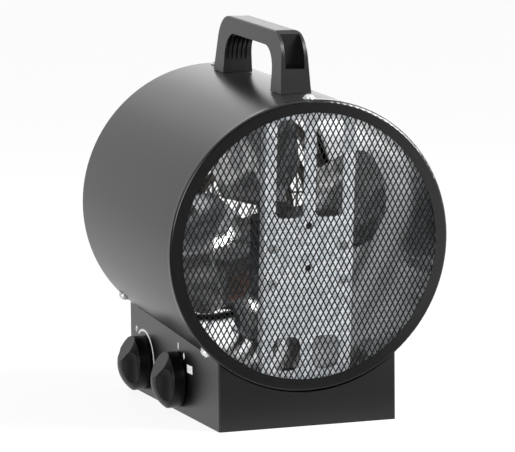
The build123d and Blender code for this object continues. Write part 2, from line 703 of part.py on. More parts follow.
def fan_blades():
    disc = Pos(0, 0, -FAN_SHEET / 2) * Cylinder(FAN_DISC, FAN_SHEET, align=BOTTOM)
    blade = Rot(FAN_PITCH, 0, 0) * fan_blade()
    for number in range(FAN_BLADES):
        disc += Rot(0, 0, FAN_PHASE + number * 360 / FAN_BLADES) * blade
    disc -= Cylinder(SHAFT_RADIUS + SHEET_GAP, 2 * BLADE_CHORD)
    return Plane(origin=(0, FAN_PLACE, 0), x_dir=(1, 0, 0), z_dir=(0, -1, 0)).location * disc


def fan_hub():
    end = FAN_PLACE - FAN_SHEET / 2 - SHEET_GAP / 2
    flange = tube(HUB_RADIUS * 1.5, SHAFT_RADIUS + SHEET_GAP / 10, end - 2, end)
    return flange + tube(HUB_RADIUS, SHAFT_RADIUS + SHEET_GAP / 10, end - HUB_LENGTH, end)


def fan_nut():
    start = FAN_PLACE + FAN_SHEET / 2 + SHEET_GAP / 2
    ring = RegularPolygon(FAN_NUT_RADIUS, 6) - Circle(SHAFT_RADIUS + SHEET_GAP / 10)
    return slab(ring, start, start + FAN_NUT_LENGTH)


# Heating rods


def rod_path(ring, place, leg):
    """Up one leg, round an open ring and down the other leg, with a bend of the same size at each."""
    centre_x, bend = leg + ROD_TURN, ROD_TURN
    centre_h = -sqrt((ring + bend) ** 2 - centre_x**2)
    share = ring / (ring + bend)
    touch = (centre_x * share, centre_h * share)
    towards = (touch[0] - centre_x, touch[1] - centre_h)
    mid = (-1 + towards[0] / bend, towards[1] / bend)
    size = sqrt(mid[0] ** 2 + mid[1] ** 2)
    middle = (centre_x + bend * mid[0] / size, centre_h + bend * mid[1] / size)

    def point(x, h):
        return (x, place, h)

    return Wire(
        [
            Line(point(-leg, ROD_END), point(-leg, centre_h)),
            ThreePointArc(point(-leg, centre_h), point(-middle[0], middle[1]), point(-touch[0], touch[1])),
            ThreePointArc(point(-touch[0], touch[1]), point(0, ring), point(*touch)),
            ThreePointArc(point(*touch), point(*middle), point(leg, centre_h)),
            Line(point(leg, centre_h), point(leg, ROD_END)),
        ]
    )


def heating_rod(ring, place, leg):
    start = Plane(origin=(-leg, place, ROD_END), x_dir=(1, 0, 0), z_dir=(0, 0, 1))
    return at_rods(sweep(start * Circle(ROD_RADIUS), path=rod_path(ring, place, leg)))


def rod_legs():
    return [(side * leg, place) for _, place, leg in ROD_RINGS for side in (-1, 1)]


def rod_plate():
    """The plate that closes the slot in the liner's floor and carries the rods."""
    top = ROD_PLATE_HEIGHT
    low = (-ROD_PLATE_HALF, ROD_PLATE_SPAN[0], top - ROD_PLATE_THICKNESS)
    plate = block(low, (ROD_PLATE_HALF, ROD_PLATE_SPAN[1], top))
    for x, place in rod_legs():
        plate -= Pos(x, place, 0) * rod(CERAMIC_RADIUS + SCREW_GAP, top - 5, top + 5)
    return at_rods(plate & drum_cylinder(LINER_INNER - SHEET_GAP))


def rod_ceramics():
    """Ceramic bushes round the legs, their collars under the plate."""
    collar_top = ROD_PLATE_HEIGHT - ROD_PLATE_THICKNESS - SHEET_GAP / 2
    sleeve = rod(CERAMIC_RADIUS, collar_top - CERAMIC_LENGTH, ROD_PLATE_HEIGHT + 0.5)
    sleeve += rod(CERAMIC_COLLAR, collar_top - CERAMIC_COLLAR_THICK, collar_top)
    sleeve -= rod(ROD_RADIUS + ROD_HOLE_GAP / 2, -LINER_RADIUS * 1.2, 0)
    return at_rods(group(Pos(x, place, 0) * sleeve for x, place in rod_legs()))


def rod_terminals():
    pin = rod(TERMINAL_RADIUS, ROD_END - TERMINAL_LENGTH, ROD_END)
    nut_bottom = ROD_END - TERMINAL_LENGTH * 0.3 - TERMINAL_NUT_LENGTH
    nut = Pos(0, 0, nut_bottom) * hexagon(2 * TERMINAL_NUT_RADIUS * 0.87, TERMINAL_NUT_LENGTH)
    return at_rods(group(Pos(x, place, 0) * (pin + nut) for x, place in rod_legs()))


def thermal_cutout():
    """A snap disc in the air stream, its ear flat on the liner."""
    wide, long, thick = CUTOUT_EAR
    seat = sqrt(LINER_INNER**2 - (long / 2) ** 2) - SHEET_GAP / 2
    ear = Pos(0, 0, seat - thick) * Box(wide, long, thick, align=BOTTOM)
    body = rod(CUTOUT_RADIUS, seat - thick - CUTOUT_DEPTH, seat - thick)
    return radial(CUTOUT_ANGLE, CUTOUT_PLACE, 0) * (ear + body)


# Outlet end


def rear_hoop():
    hoop = tube(TAB_OUTER, TAB_INNER, OUTLET_EDGE - HOOP_REACH, OUTLET_EDGE - 1)
    hoop += tube(TAB_OUTER, TAB_OUTER - HOOP_LIP, OUTLET_EDGE - 1 - HOOP_THICKNESS, OUTLET_EDGE - 1)
    return hoop - screw_holes(CASING_SCREW_SHANK + SCREW_GAP, TAB_INNER - 1, TAB_OUTER + 1)


def rear_guard():
    """Round wires on straight ones, welded where they cross."""
    ring_place = OUTLET_EDGE - 1 - HOOP_THICKNESS - SHEET_GAP / 2 - GUARD_WIRE
    spoke_place = ring_place - 2 * GUARD_WIRE + GUARD_WELD
    face = Plane(origin=(0, ring_place, 0), x_dir=(1, 0, 0), z_dir=(0, -1, 0)).location
    guard = Part()
    for number in range(GUARD_SPOKES // 2):
        spoke = Cylinder(GUARD_WIRE, 2 * GUARD_RADIUS)
        guard += Pos(0, spoke_place, 0) * Rot(0, number * 360 / GUARD_SPOKES, 0) * spoke
    for number in range(1, GUARD_RINGS + 1):
        guard += face * Torus(number * GUARD_RADIUS / GUARD_RINGS, GUARD_WIRE)
    return guard


# Handle


def handle_gap(inset):
    """The opening for the hand, seen from the side, smaller by an inset all round."""
    half, top = HANDLE_GAP_HALF - inset, HANDLE_GAP_TOP - inset
    gap = Polygon((-half, 0), (half, 0), (half, top), (-half, top), align=None)
    return fillet(gap.vertices().sort_by(Axis.Y)[-2:], HANDLE_GAP_ROUND - inset)


def handle():
    """Side outline and front outline crossed, recessed at both ends and seated on the casing.

    Each end has a recess that is open at the front and at the top. Ribs stand on the inner side of
    each leg and follow the opening's round corner.
    """
    foot = CASING_RADIUS * 0.94
    side = Plane(origin=(-2 * HANDLE_FOOT_HALF, 0, 0), x_dir=(0, 1, 0), z_dir=(1, 0, 0))
    outer = Polygon(
        (-HANDLE_FOOT, foot), (HANDLE_FOOT, foot),
        (HANDLE_SHOULDER, HANDLE_TOP), (-HANDLE_SHOULDER, HANDLE_TOP), align=None,
    )
    outer = fillet(outer.vertices().sort_by(Axis.Y)[-2:], HANDLE_ROUND)
    body = extrude(side * (outer - handle_gap(0)), 4 * HANDLE_FOOT_HALF)
    front = Polygon(
        (-HANDLE_FOOT_HALF, foot), (HANDLE_FOOT_HALF, foot),
        (HANDLE_TOP_HALF, HANDLE_TOP), (-HANDLE_TOP_HALF, HANDLE_TOP), align=None,
    )
    front = fillet(front.vertices().sort_by(Axis.Y)[-2:], HANDLE_EDGE * 2)
    body &= slab(front, -HANDLE_FOOT - 1, HANDLE_FOOT + 1)
    body -= drum_cylinder(CASING_RADIUS + SEAT_GAP)
    rib_low, rib_end = CASING_RADIUS + RIB_START, HANDLE_GAP_HALF - RIB_RUN
    for end in (-1, 1):
        places = sorted((end * (HANDLE_FOOT - POCKET_DEPTH), end * (HANDLE_FOOT + 5)))
        body -= block(
            (-POCKET_HALF, places[0], POCKET_FLOOR), (POCKET_HALF, places[1], HANDLE_TOP + 5)
        )
        corner = Pos(end * HANDLE_FOOT, HANDLE_TOP) * Rectangle(
            2 * (HANDLE_FOOT - rib_end), 2 * (HANDLE_TOP - rib_low)
        )
        profile = (handle_gap(-RIB_WIDTH / 2) - handle_gap(RIB_PROUD)) & corner
        for number in range(RIB_COUNT):
            x = (number - (RIB_COUNT - 1) / 2) * RIB_PITCH - RIB_WIDTH / 2
            across = Plane(origin=(x, 0, 0), x_dir=(0, 1, 0), z_dir=(1, 0, 0))
            body += extrude(across * profile, RIB_WIDTH)
        bore = rod(HANDLE_SCREW_SHANK + SHEET_GAP / 2, 0, CASING_RADIUS + HANDLE_SCREW_REACH)
        body -= Pos(0, end * HANDLE_SCREW_PLACE, 0) * bore
    return body


def handle_screws():
    """Up through the casing into each foot, heads in the space outside the liner."""
    seat = sqrt(CASING_INNER**2 - HANDLE_SCREW_HEAD**2) - SHEET_GAP / 2
    head = Pos(0, 0, seat) * Rot(180, 0, 0) * pan_head(HANDLE_SCREW_HEAD, HANDLE_SCREW_HEAD_THICK)
    screw = head + rod(HANDLE_SCREW_SHANK, seat, CASING_RADIUS + HANDLE_SCREW_REACH - 1)
    return group(Pos(0, end * HANDLE_SCREW_PLACE, 0) * screw for end in (-1, 1))


# Base


def rectangle_tube(width, length, corner, wall, low, high):
    outer = RectangleRounded(width, length, corner)
    inner = RectangleRounded(width - 2 * wall, length - 2 * wall, max(corner - wall, 0.2))
    return Pos(0, 0, low) * extrude(outer - inner, high - low)


def plate_screw_places():
    x, y = BASE_WALL_X - PLATE_SCREW_INSET, BASE_WALL_Y - PLATE_SCREW_INSET
    return [(i * x, j * y) for i in (-1, 1) for j in (-1, 1)]


def base_box():
    walls = rectangle_tube(BASE_WIDTH, BASE_LENGTH, BASE_CORNER, BASE_SHEET, 0, AXIS_HEIGHT / 2)
    lip_low = PLATE_THICKNESS + SHEET_GAP
    walls += rectangle_tube(
        BASE_WIDTH - BASE_SHEET, BASE_LENGTH - BASE_SHEET, BASE_CORNER, BASE_LIP,
        lip_low, lip_low + BASE_SHEET,
    )
    bezel_end = INLET_FACE + BEZEL_FLANGE + SEAT_GAP
    bezel = slab(Circle(BEZEL_RADIUS + SEAT_GAP), INLET_FACE - BEZEL_FLANGE, bezel_end)
    walls -= DRUM * (drum_cylinder(CASING_RADIUS + SEAT_GAP) + bezel)
    head = rod(CASING_SCREW_FLANGE + SEAT_GAP, CASING_RADIUS, CASING_RADIUS + CASING_SCREW_HEAD + SEAT_GAP)
    walls -= [DRUM * cut for cut in at_casing_screws(lambda angle, place: radial(angle, place, 0) * head)]
    for y in (THERMOSTAT_Y, SELECTOR_Y):
        bush = Rot(0, -90, 0) * rod(THREAD_BUSH_RADIUS + SCREW_GAP, CONTROL_FACE - 1, BASE_WALL_X + 1)
        walls -= Pos(0, y, KNOB_HEIGHT) * bush
    gland = Rot(-90, 0, 0) * rod(GLAND_THREAD_RADIUS + SCREW_GAP, BASE_WALL_Y - 3, BASE_WALL_Y + 3)
    walls -= Pos(GLAND_X, 0, GLAND_HEIGHT) * gland
    for x, y in plate_screw_places():
        walls -= Pos(x, y, 0) * rod(PLATE_SCREW_SHANK + SCREW_GAP / 2, 0, 2 * lip_low)
    return walls


def base_plate():
    width, length = (size - 2 * (BASE_SHEET + PLATE_GAP) for size in (BASE_WIDTH, BASE_LENGTH))
    plate = extrude(RectangleRounded(width, length, BASE_CORNER), PLATE_THICKNESS)
    for x, y in plate_screw_places():
        sink = Cone(
            PLATE_SCREW_HEAD + SCREW_GAP, PLATE_SCREW_SHANK + SCREW_GAP, PLATE_SCREW_HEAD_DEEP, align=BOTTOM
        )
        plate -= Pos(x, y, 0) * (sink + rod(PLATE_SCREW_SHANK + SCREW_GAP, 0, PLATE_THICKNESS))
    return plate


def base_screws():
    head = Cone(PLATE_SCREW_HEAD, PLATE_SCREW_SHANK, PLATE_SCREW_HEAD_DEEP, align=BOTTOM)
    screw = head + rod(PLATE_SCREW_SHANK, 0, PLATE_SCREW_LENGTH)
    return group(Pos(x, y, 0) * screw for x, y in plate_screw_places())


def saddle_rails():
    """Two curved straps under the drum, from wall to wall of the base."""
    half = BASE_WALL_X - BASE_SHEET - SHEET_GAP
    seat = CASING_RADIUS + SHEET_GAP / 2
    rails = []
    for middle in (-SADDLE_PLACE, SADDLE_PLACE):
        rail = tube(
            seat + SADDLE_SHEET, seat, middle - SADDLE_WIDTH / 2, middle + SADDLE_WIDTH / 2
        )
        rail &= block((-half, -DRUM_LENGTH, -2 * CASING_RADIUS), (half, DRUM_LENGTH, 0))
        for angle in saddle_screw_angles():
            hole = rod(SADDLE_SCREW_SHANK + SCREW_GAP, CASING_RADIUS - 1, CASING_RADIUS + 4)
            rail -= radial(angle, middle, 0) * hole
        rails.append(rail)
    return group(rails)


def saddle_screws():
    seat = CASING_RADIUS + SHEET_GAP + SADDLE_SHEET
    screw = pan_head(SADDLE_SCREW_HEAD, SADDLE_SCREW_HEAD_THICK)
    screw += rod(SADDLE_SCREW_SHANK, -SADDLE_SCREW_REACH, 0)
    return group(
        radial(angle, middle, seat) * screw
        for middle in (-SADDLE_PLACE, SADDLE_PLACE)
        for angle in saddle_screw_angles()
    )


def wire_grommet():
    """A rubber edging in the liner's slot, with a lip inside and one outside."""
    through = wire_slot(-SHEET_GAP) & tube(CASING_RADIUS, LINER_INNER - GROMMET_LIP, -DRUM_LENGTH, 0)
    lips = wire_slot(GROMMET_FLANGE)
    inside = lips & tube(LINER_INNER - SHEET_GAP, LINER_INNER - GROMMET_LIP, -DRUM_LENGTH, 0)
    outside = lips & tube(LINER_RADIUS + GROMMET_LIP, LINER_RADIUS + SHEET_GAP, -DRUM_LENGTH, 0)
    return through + inside + outside - wire_slot(-GROMMET_WALL)


# Controls


def on_panel(y, height=KNOB_HEIGHT):
    """Looking at the -X wall from outside: local x runs to -Y, local y up, local z out of the wall."""
    return Plane(origin=(0, y, height), x_dir=(0, -1, 0), z_dir=(-1, 0, 0)).location


def flatted(radius, flat, low, high):
    """A round bar with one flat, as on a knob's spindle."""
    bar = Circle(radius) & Pos(0, flat - radius) * Rectangle(2 * radius, 2 * radius)
    return Pos(0, 0, low) * extrude(bar, high - low)


def knob_slope(rim):
    """Cutter for the flat that slopes from the skirt's top edge to the dome's middle."""
    top, low = KNOB_RADIUS - KNOB_SLOPE_TOP, KNOB_RADIUS - KNOB_SLOPE_TOP - KNOB_SLOPE_REACH
    start, end = rim + KNOB_SLOPE_EDGE, rim + KNOB_DOME
    lean = (end - start) / (top - low)
    outline = Polygon(
        (top + KNOB_RADIUS, start - lean * KNOB_RADIUS), (top + KNOB_RADIUS, end + KNOB_RADIUS),
        (low - KNOB_RADIUS, end + KNOB_RADIUS), (low - KNOB_RADIUS, end + lean * KNOB_RADIUS), align=None,
    )
    across = Plane(origin=(-2 * KNOB_RADIUS, 0, 0), x_dir=(0, 1, 0), z_dir=(1, 0, 0))
    return extrude(across * outline, 4 * KNOB_RADIUS)


def knob():
    """A round skirt under a dome that slopes away at the top, with a scoop on each side.

    The scoops leave an upright bar between them. Each has a rounded upper end and runs out at
    the knob's lower edge.
    """
    rim = KNOB_BACK + KNOB_BODY
    ball = (KNOB_RADIUS**2 + KNOB_DOME**2) / (2 * KNOB_DOME)
    half = asin(KNOB_RADIUS / ball) / 2
    middle = (ball * sin(half), rim + KNOB_DOME - ball + ball * cos(half))
    tip = (0, rim + KNOB_DOME)
    outline = Polyline((0, KNOB_BACK), (KNOB_RADIUS, KNOB_BACK), (KNOB_RADIUS, rim))
    outline += ThreePointArc((KNOB_RADIUS, rim), middle, tip) + Line(tip, (0, KNOB_BACK))
    body = revolve(Plane.XZ * make_face(outline), Axis.Z)
    body = fillet(body.edges().filter_by(GeomType.CIRCLE).sort_by(Axis.Z)[:2], KNOB_EDGE)
    body -= knob_slope(rim)
    scoop = Sphere(KNOB_SCOOP_RADIUS)
    scoop += Rot(90, 0, 0) * rod(KNOB_SCOOP_RADIUS, 0, 2 * KNOB_RADIUS)
    for side in (-1, 1):
        body -= Pos(side * KNOB_SCOOP_OFFSET, KNOB_SCOOP_RISE, rim + KNOB_SCOOP_PROUD) * scoop
    body -= rod(KNOB_CAVITY_RADIUS, KNOB_BACK - 1, KNOB_BACK + KNOB_CAVITY_DEPTH)
    grip_start = KNOB_BACK + KNOB_CAVITY_DEPTH
    bore = flatted(
        SPINDLE_RADIUS + KNOB_BORE_GAP, SPINDLE_FLAT + KNOB_BORE_GAP,
        grip_start - 1, grip_start + SPINDLE_GRIP + 0.3,
    )
    return body - bore


def spindle():
    inside = rod(SPINDLE_RADIUS, CONTROL_FACE - SPINDLE_INSIDE, KNOB_BACK + KNOB_CAVITY_DEPTH)
    start = KNOB_BACK + KNOB_CAVITY_DEPTH
    return inside + flatted(SPINDLE_RADIUS, SPINDLE_FLAT, start, start + SPINDLE_GRIP)


def control_body(case):
    """A case behind the wall with a threaded bush through it, bored for the spindle."""
    bush = rod(THREAD_BUSH_RADIUS, CONTROL_FACE - 1, CONTROL_FACE + THREAD_BUSH_LENGTH)
    low = CONTROL_FACE - SPINDLE_INSIDE - SEAT_GAP
    return case + bush - rod(SPINDLE_RADIUS + RUNNING_GAP, low, CONTROL_FACE + 2 * THREAD_BUSH_LENGTH)


def lugs(back, across):
    """Push-on terminals in a row behind a control."""
    wide, thick, long = CONTROL_LUG
    row = Part()
    for number in range(CONTROL_LUG_COUNT):
        step = (number - (CONTROL_LUG_COUNT - 1) / 2) * CONTROL_LUG_PITCH
        place = (step, 0, back - wide) if across else (0, step, back - wide)
        size = (thick, long, wide + 1) if across else (long, thick, wide + 1)
        row += Pos(*place) * Box(*size, align=BOTTOM)
    return row


def thermostat_body():
    deep, wide, high = THERMOSTAT_BOX
    case = Pos(0, 0, CONTROL_FACE - deep) * Box(wide, high, deep, align=BOTTOM)
    case = fillet(case.edges().filter_by(Axis.Z), 2)
    return control_body(case + lugs(CONTROL_FACE - deep, True))


def selector_body():
    case = rod(SELECTOR_DRUM_RADIUS, CONTROL_FACE - SELECTOR_DRUM_DEPTH, CONTROL_FACE)
    return control_body(case + lugs(CONTROL_FACE - SELECTOR_DRUM_DEPTH, False))


def control_nut():
    nut = Pos(0, 0, BASE_WALL_X + SHEET_GAP / 2) * hexagon(CONTROL_NUT_FLATS, CONTROL_NUT_THICK)
    return nut - rod(THREAD_BUSH_RADIUS + SHEET_GAP / 10, 0, KNOB_BACK * 2)


# Mains side


def on_far_wall():
    """Looking at the +Y wall from outside: local z runs out of the wall."""
    return Plane(origin=(GLAND_X, 0, GLAND_HEIGHT), x_dir=(-1, 0, 0), z_dir=(0, 1, 0)).location


def cable_gland():
    seat = BASE_WALL_Y + GLAND_SEAL_THICK + SHEET_GAP
    body = rod(GLAND_THREAD_RADIUS, BASE_WALL_Y - GLAND_INSIDE, seat + 1)
    body += Pos(0, 0, seat) * hexagon(GLAND_FLATS, GLAND_HEX_THICK)
    dome = rod(GLAND_DOME_RADIUS, seat, seat + GLAND_HEX_THICK + GLAND_DOME_LENGTH)
    dome = fillet(dome.edges().sort_by(Axis.Z)[-1], GLAND_DOME_RADIUS * 0.35)
    return body + dome - rod(GLAND_BORE, 0, 2 * BASE_WALL_Y)


def gland_seal():
    ring = Circle(GLAND_FLATS / 2) - Circle(GLAND_THREAD_RADIUS + SHEET_GAP)
    return Pos(0, 0, BASE_WALL_Y + SHEET_GAP / 2) * extrude(ring, GLAND_SEAL_THICK)


def gland_nut():
    top = BASE_WALL_Y - BASE_SHEET - SHEET_GAP / 2
    nut = Pos(0, 0, top - GLAND_NUT_THICK) * hexagon(GLAND_FLATS, GLAND_NUT_THICK)
    return nut - rod(GLAND_THREAD_RADIUS + SHEET_GAP / 10, 0, 2 * BASE_WALL_Y)


def block_ways():
    return [(number - (BLOCK_WAYS - 1) / 2) * BLOCK_WAY_PITCH for number in range(BLOCK_WAYS)]


def terminal_block():
    long, wide, high = BLOCK_SIZE
    floor = PLATE_THICKNESS + SHEET_GAP / 2
    body = Pos(0, 0, floor) * Box(long, wide, high, align=BOTTOM)
    for x in block_ways():
        body -= Pos(x, 0, 0) * rod(BLOCK_CLAMP_RADIUS, floor + high - BLOCK_CLAMP_DEEP, floor + high)
        wire = Rot(-90, 0, 0) * Cylinder(BLOCK_WIRE_RADIUS, 2 * wide)
        body -= Pos(x, 0, floor + BLOCK_WIRE_HEIGHT) * wire
    return Pos(*BLOCK_PLACE, 0) * body


def terminal_screws():
    top = PLATE_THICKNESS + SHEET_GAP / 2 + BLOCK_SIZE[2]
    screw = rod(BLOCK_CLAMP_RADIUS - SHEET_GAP / 2, top - BLOCK_CLAMP_DEEP + SHEET_GAP / 2, top - 1)
    return Pos(*BLOCK_PLACE, 0) * group(Pos(x, 0, 0) * screw for x in block_ways())


DRUM_PIECES = {
    "casing": casing,
    "front_bezel": front_bezel,
    "front_mesh": front_mesh,
    "mesh_retainer": mesh_retainer,
    "inner_liner": inner_liner,
    "casing_screws": casing_screws,
    "liner_spacers": liner_spacers,
    "motor_bracket": motor_bracket,
    "bracket_rivets": bracket_rivets,
    "stator_core": stator_core,
    "stator_coil": stator_coil,
    "front_bearing_bridge": lambda: bearing_bridge(STACK_FRONT, -1),
    "rear_bearing_bridge": lambda: bearing_bridge(STACK_BACK, 1),
    "front_bearing": lambda: bearing(STACK_FRONT, -1),
    "rear_bearing": lambda: bearing(STACK_BACK, 1),
    "motor_spacers": motor_spacers,
    "motor_screws": motor_screws,
    "motor_nuts": motor_nuts,
    "motor_shaft": motor_shaft,
    "rotor_core": rotor_core,
    "fan_blades": fan_blades,
    "fan_hub": fan_hub,
    "fan_nut": fan_nut,
    "heating_rod_inner": lambda: heating_rod(*ROD_RINGS[0]),
    "heating_rod_middle": lambda: heating_rod(*ROD_RINGS[1]),
    "heating_rod_outer": lambda: heating_rod(*ROD_RINGS[2]),
    "rod_plate": rod_plate,
    "rod_ceramics": rod_ceramics,
    "rod_terminals": rod_terminals,
    "thermal_cutout": thermal_cutout,
    "rear_hoop": rear_hoop,
    "rear_guard": rear_guard,
    "handle": handle,
    "handle_screws": handle_screws,
    "saddle_rails": saddle_rails,
    "saddle_screws": saddle_screws,
    "wire_grommet": wire_grommet,
}

BASE_PIECES = {
    "base_box": base_box,
    "base_plate": base_plate,
    "base_screws": base_screws,
    "terminal_block": terminal_block,
    "terminal_screws": terminal_screws,
    "thermostat_body": lambda: on_panel(THERMOSTAT_Y) * thermostat_body(),
    "thermostat_nut": lambda: on_panel(THERMOSTAT_Y) * control_nut(),
    "thermostat_spindle": lambda: on_panel(THERMOSTAT_Y) * spindle(),
    "thermostat_knob": lambda: on_panel(THERMOSTAT_Y) * knob(),
    "selector_body": lambda: on_panel(SELECTOR_Y) * selector_body(),
    "selector_nut": lambda: on_panel(SELECTOR_Y) * control_nut(),
    "selector_spindle": lambda: on_panel(SELECTOR_Y) * spindle(),
    "selector_knob": lambda: on_panel(SELECTOR_Y) * knob(),
    "cable_gland": lambda: on_far_wall() * cable_gland(),
    "gland_seal": lambda: on_far_wall() * gland_seal(),
    "gland_nut": lambda: on_far_wall() * gland_nut(),
}

os.makedirs("parts", exist_ok=True)
for name, make in DRUM_PIECES.items():
    export_step(DRUM * make(), f"parts/{name}.step")
for name, make in BASE_PIECES.items():
    export_step(make(), f"parts/{name}.step")
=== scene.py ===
# %% [markdown]
# A portable round fan heater: a tilted sheet-metal drum on a box base, with a moulded handle on top.
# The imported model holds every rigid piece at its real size. This file dresses it: a finish for each
# surface, and finer meshes where the plain solids are too coarse, such as the expanded mesh.

# %% Load the frame
import json
from math import ceil, cos, hypot, pi, radians, sin

import bmesh
import bpy
from mathutils import Matrix, Vector


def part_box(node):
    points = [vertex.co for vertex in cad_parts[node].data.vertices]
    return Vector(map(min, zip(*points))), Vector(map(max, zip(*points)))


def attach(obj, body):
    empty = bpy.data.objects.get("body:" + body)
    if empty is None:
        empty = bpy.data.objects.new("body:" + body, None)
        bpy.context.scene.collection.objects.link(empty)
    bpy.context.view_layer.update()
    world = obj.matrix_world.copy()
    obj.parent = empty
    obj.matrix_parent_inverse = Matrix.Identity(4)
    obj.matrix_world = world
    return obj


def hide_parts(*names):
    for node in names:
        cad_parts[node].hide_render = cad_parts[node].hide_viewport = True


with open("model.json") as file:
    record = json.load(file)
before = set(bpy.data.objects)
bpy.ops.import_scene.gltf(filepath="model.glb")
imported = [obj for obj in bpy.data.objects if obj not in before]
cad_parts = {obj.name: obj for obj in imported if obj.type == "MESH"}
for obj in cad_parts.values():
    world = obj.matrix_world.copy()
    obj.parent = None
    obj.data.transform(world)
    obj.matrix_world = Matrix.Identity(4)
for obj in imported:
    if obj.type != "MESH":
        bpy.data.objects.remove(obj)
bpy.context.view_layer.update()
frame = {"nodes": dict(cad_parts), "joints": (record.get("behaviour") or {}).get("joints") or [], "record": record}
nodes = frame["nodes"]

# %% [markdown]
# Blender works in metres, and a maker thinks in millimetres, so one value turns the one into the other.
# The drum leans back a little. The fan turns on the drum's own axis, so its joint says where the drum is:
# a matrix made from it takes drum places (x across, y along the axis, z up from it) to the frame.

# %% Units and the drum's places
MM = 0.001
spin = next(joint for joint in frame["joints"] if joint["name"] == "fan_spin")
drum_along = Vector(spin["axis"])
drum_across = Vector((1, 0, 0))
drum_up = drum_across.cross(drum_along)
drum = Matrix.Translation(spin["pos_m"]) @ Matrix((drum_across, drum_along, drum_up)).transposed().to_4x4()
print("drum rises", round(100 * drum_along.z / drum_along.y, 1), "mm in each 100")

# %% [markdown]
# The photograph was taken from a low place to the left of the mesh end, with a long lens. The camera is
# placed by its bearing, its height angle and its roll, and it looks at the middle of the heater.

# %% Camera
CAMERA_BEARING = radians(-20.085)
CAMERA_ELEVATION = radians(6.329)
CAMERA_ROLL = radians(-0.594)
CAMERA_DISTANCE = 1941.73 * MM
CAMERA_TARGET = Vector((-0.81, -4.0, 134.56)) * MM
CAMERA_LENS = 180.94
SENSOR_WIDTH = 36.0
NEAREST_SEEN = 50 * MM

backwards = Vector((
    sin(CAMERA_BEARING) * cos(CAMERA_ELEVATION),
    -cos(CAMERA_BEARING) * cos(CAMERA_ELEVATION),
    sin(CAMERA_ELEVATION),
))
level = Vector((0, 0, 1)).cross(backwards).normalized()
upright = backwards.cross(level)
right = cos(CAMERA_ROLL) * level + sin(CAMERA_ROLL) * upright
up = cos(CAMERA_ROLL) * upright - sin(CAMERA_ROLL) * level
camera = bpy.data.objects.new("camera", bpy.data.cameras.new("camera"))
camera.data.lens = CAMERA_LENS
camera.data.sensor_width = SENSOR_WIDTH
camera.data.clip_start = NEAREST_SEEN
camera.matrix_world = (
    Matrix.Translation(CAMERA_TARGET + backwards * CAMERA_DISTANCE)
    @ Matrix((right, up, backwards)).transposed().to_4x4()
)
bpy.context.scene.collection.objects.link(camera)
bpy.context.scene.camera = camera
print("camera at", [round(value, 3) for value in camera.location])

# %% [markdown]
# Every finish is a small tree of nodes. One function adds a node with its settings and its inputs, where
# an input is a value, another node, or one of its outputs. Colours are written as a paint chart gives
# them, in sRGB, and another function makes them linear.

# %% Helpers for materials
FINISHES = {}


def linear(colour):
    """An sRGB colour such as "#808080" as the linear red, green, blue and alpha that nodes take."""
    channels = [int(colour[start:start + 2], 16) / 255 for start in (1, 3, 5)]
    curved = [c / 12.92 if c <= 0.04045 else ((c + 0.055) / 1.055) ** 2.4 for c in channels]
    return (*curved, 1.0)


def add(tree, kind, settings=None, inputs=None):
    """A node of that kind, its settings set, and its inputs given a value or linked."""
    node = tree.nodes.new(kind)
    for name, value in (settings or {}).items():
        setattr(node, name, value)
    for name, value in (inputs or {}).items():
        if isinstance(value, bpy.types.Node):
            value = next(output for output in value.outputs if output.enabled)
        if isinstance(value, bpy.types.NodeSocket):
            tree.links.new(value, node.inputs[name])
        else:
            node.inputs[name].default_value = value
    return node


def start_material(name):
    """An empty material, its tree, and where a point lies on the piece, in metres."""
    material = bpy.data.materials.new(name)
    material.use_nodes = True
    tree = material.node_tree
    tree.nodes.clear()
    return material, tree, add(tree, "ShaderNodeTexCoord").outputs["Object"]


def per_metre(size_mm):
    """The scale that gives a pattern this size."""
    return 1.0 / (size_mm * MM)


print("white is", linear("#ffffff")[:3])

# %% [markdown]
# The drum and the base are steel sheet with a satin powder coat, and it is black: the grey that the drum's
# side shows is the white room, mirrored at a low angle. Powder melts into a skin with a very fine orange
# peel, which breaks up a highlight without hiding it. A plain black would look like smooth plastic. So one
# noise drifts the colour over some centimetres, and a second one, a millimetre in size, makes the peel.

# %% Powder coat
COAT_DRIFT = 60.0
COAT_PEEL = 0.9

coat, tree, place = start_material("satin_black_powder_coat")
drift = add(tree, "ShaderNodeTexNoise", inputs={"Vector": place, "Scale": per_metre(COAT_DRIFT)})
peel = add(tree, "ShaderNodeTexNoise", inputs={
    "Vector": place, "Scale": per_metre(COAT_PEEL), "Detail": 3.0,
})
surface = add(tree, "ShaderNodeBsdfPrincipled", inputs={
    "Base Color": add(tree, "ShaderNodeMix", {"data_type": "RGBA"}, {
        0: drift, 6: linear("#050506"), 7: linear("#0a0a0b"),
    }),
    "Roughness": add(tree, "ShaderNodeMapRange", inputs={"Value": peel, "To Min": 0.28, "To Max": 0.36}),
    "Normal": add(tree, "ShaderNodeBump", inputs={"Height": peel, "Distance": 0.03 * MM, "Strength": 0.35}),
    "IOR": 1.5,
})
add(tree, "ShaderNodeOutputMaterial", inputs={"Surface": surface})
FINISHES["black_powder_coat"] = coat
print("powder coat, its peel", COAT_PEEL, "mm across")

# %% [markdown]
# The ring over the drum's edge is pressed sheet with a glossy black enamel. It is smoother than the
# powder coat, so the white room shows in its rounded edge as a clear thin line. With no pattern at all it
# would look like glass, so a broad and shallow noise wavers its gloss a little.

# %% Gloss enamel
ENAMEL_PEEL = 2.2

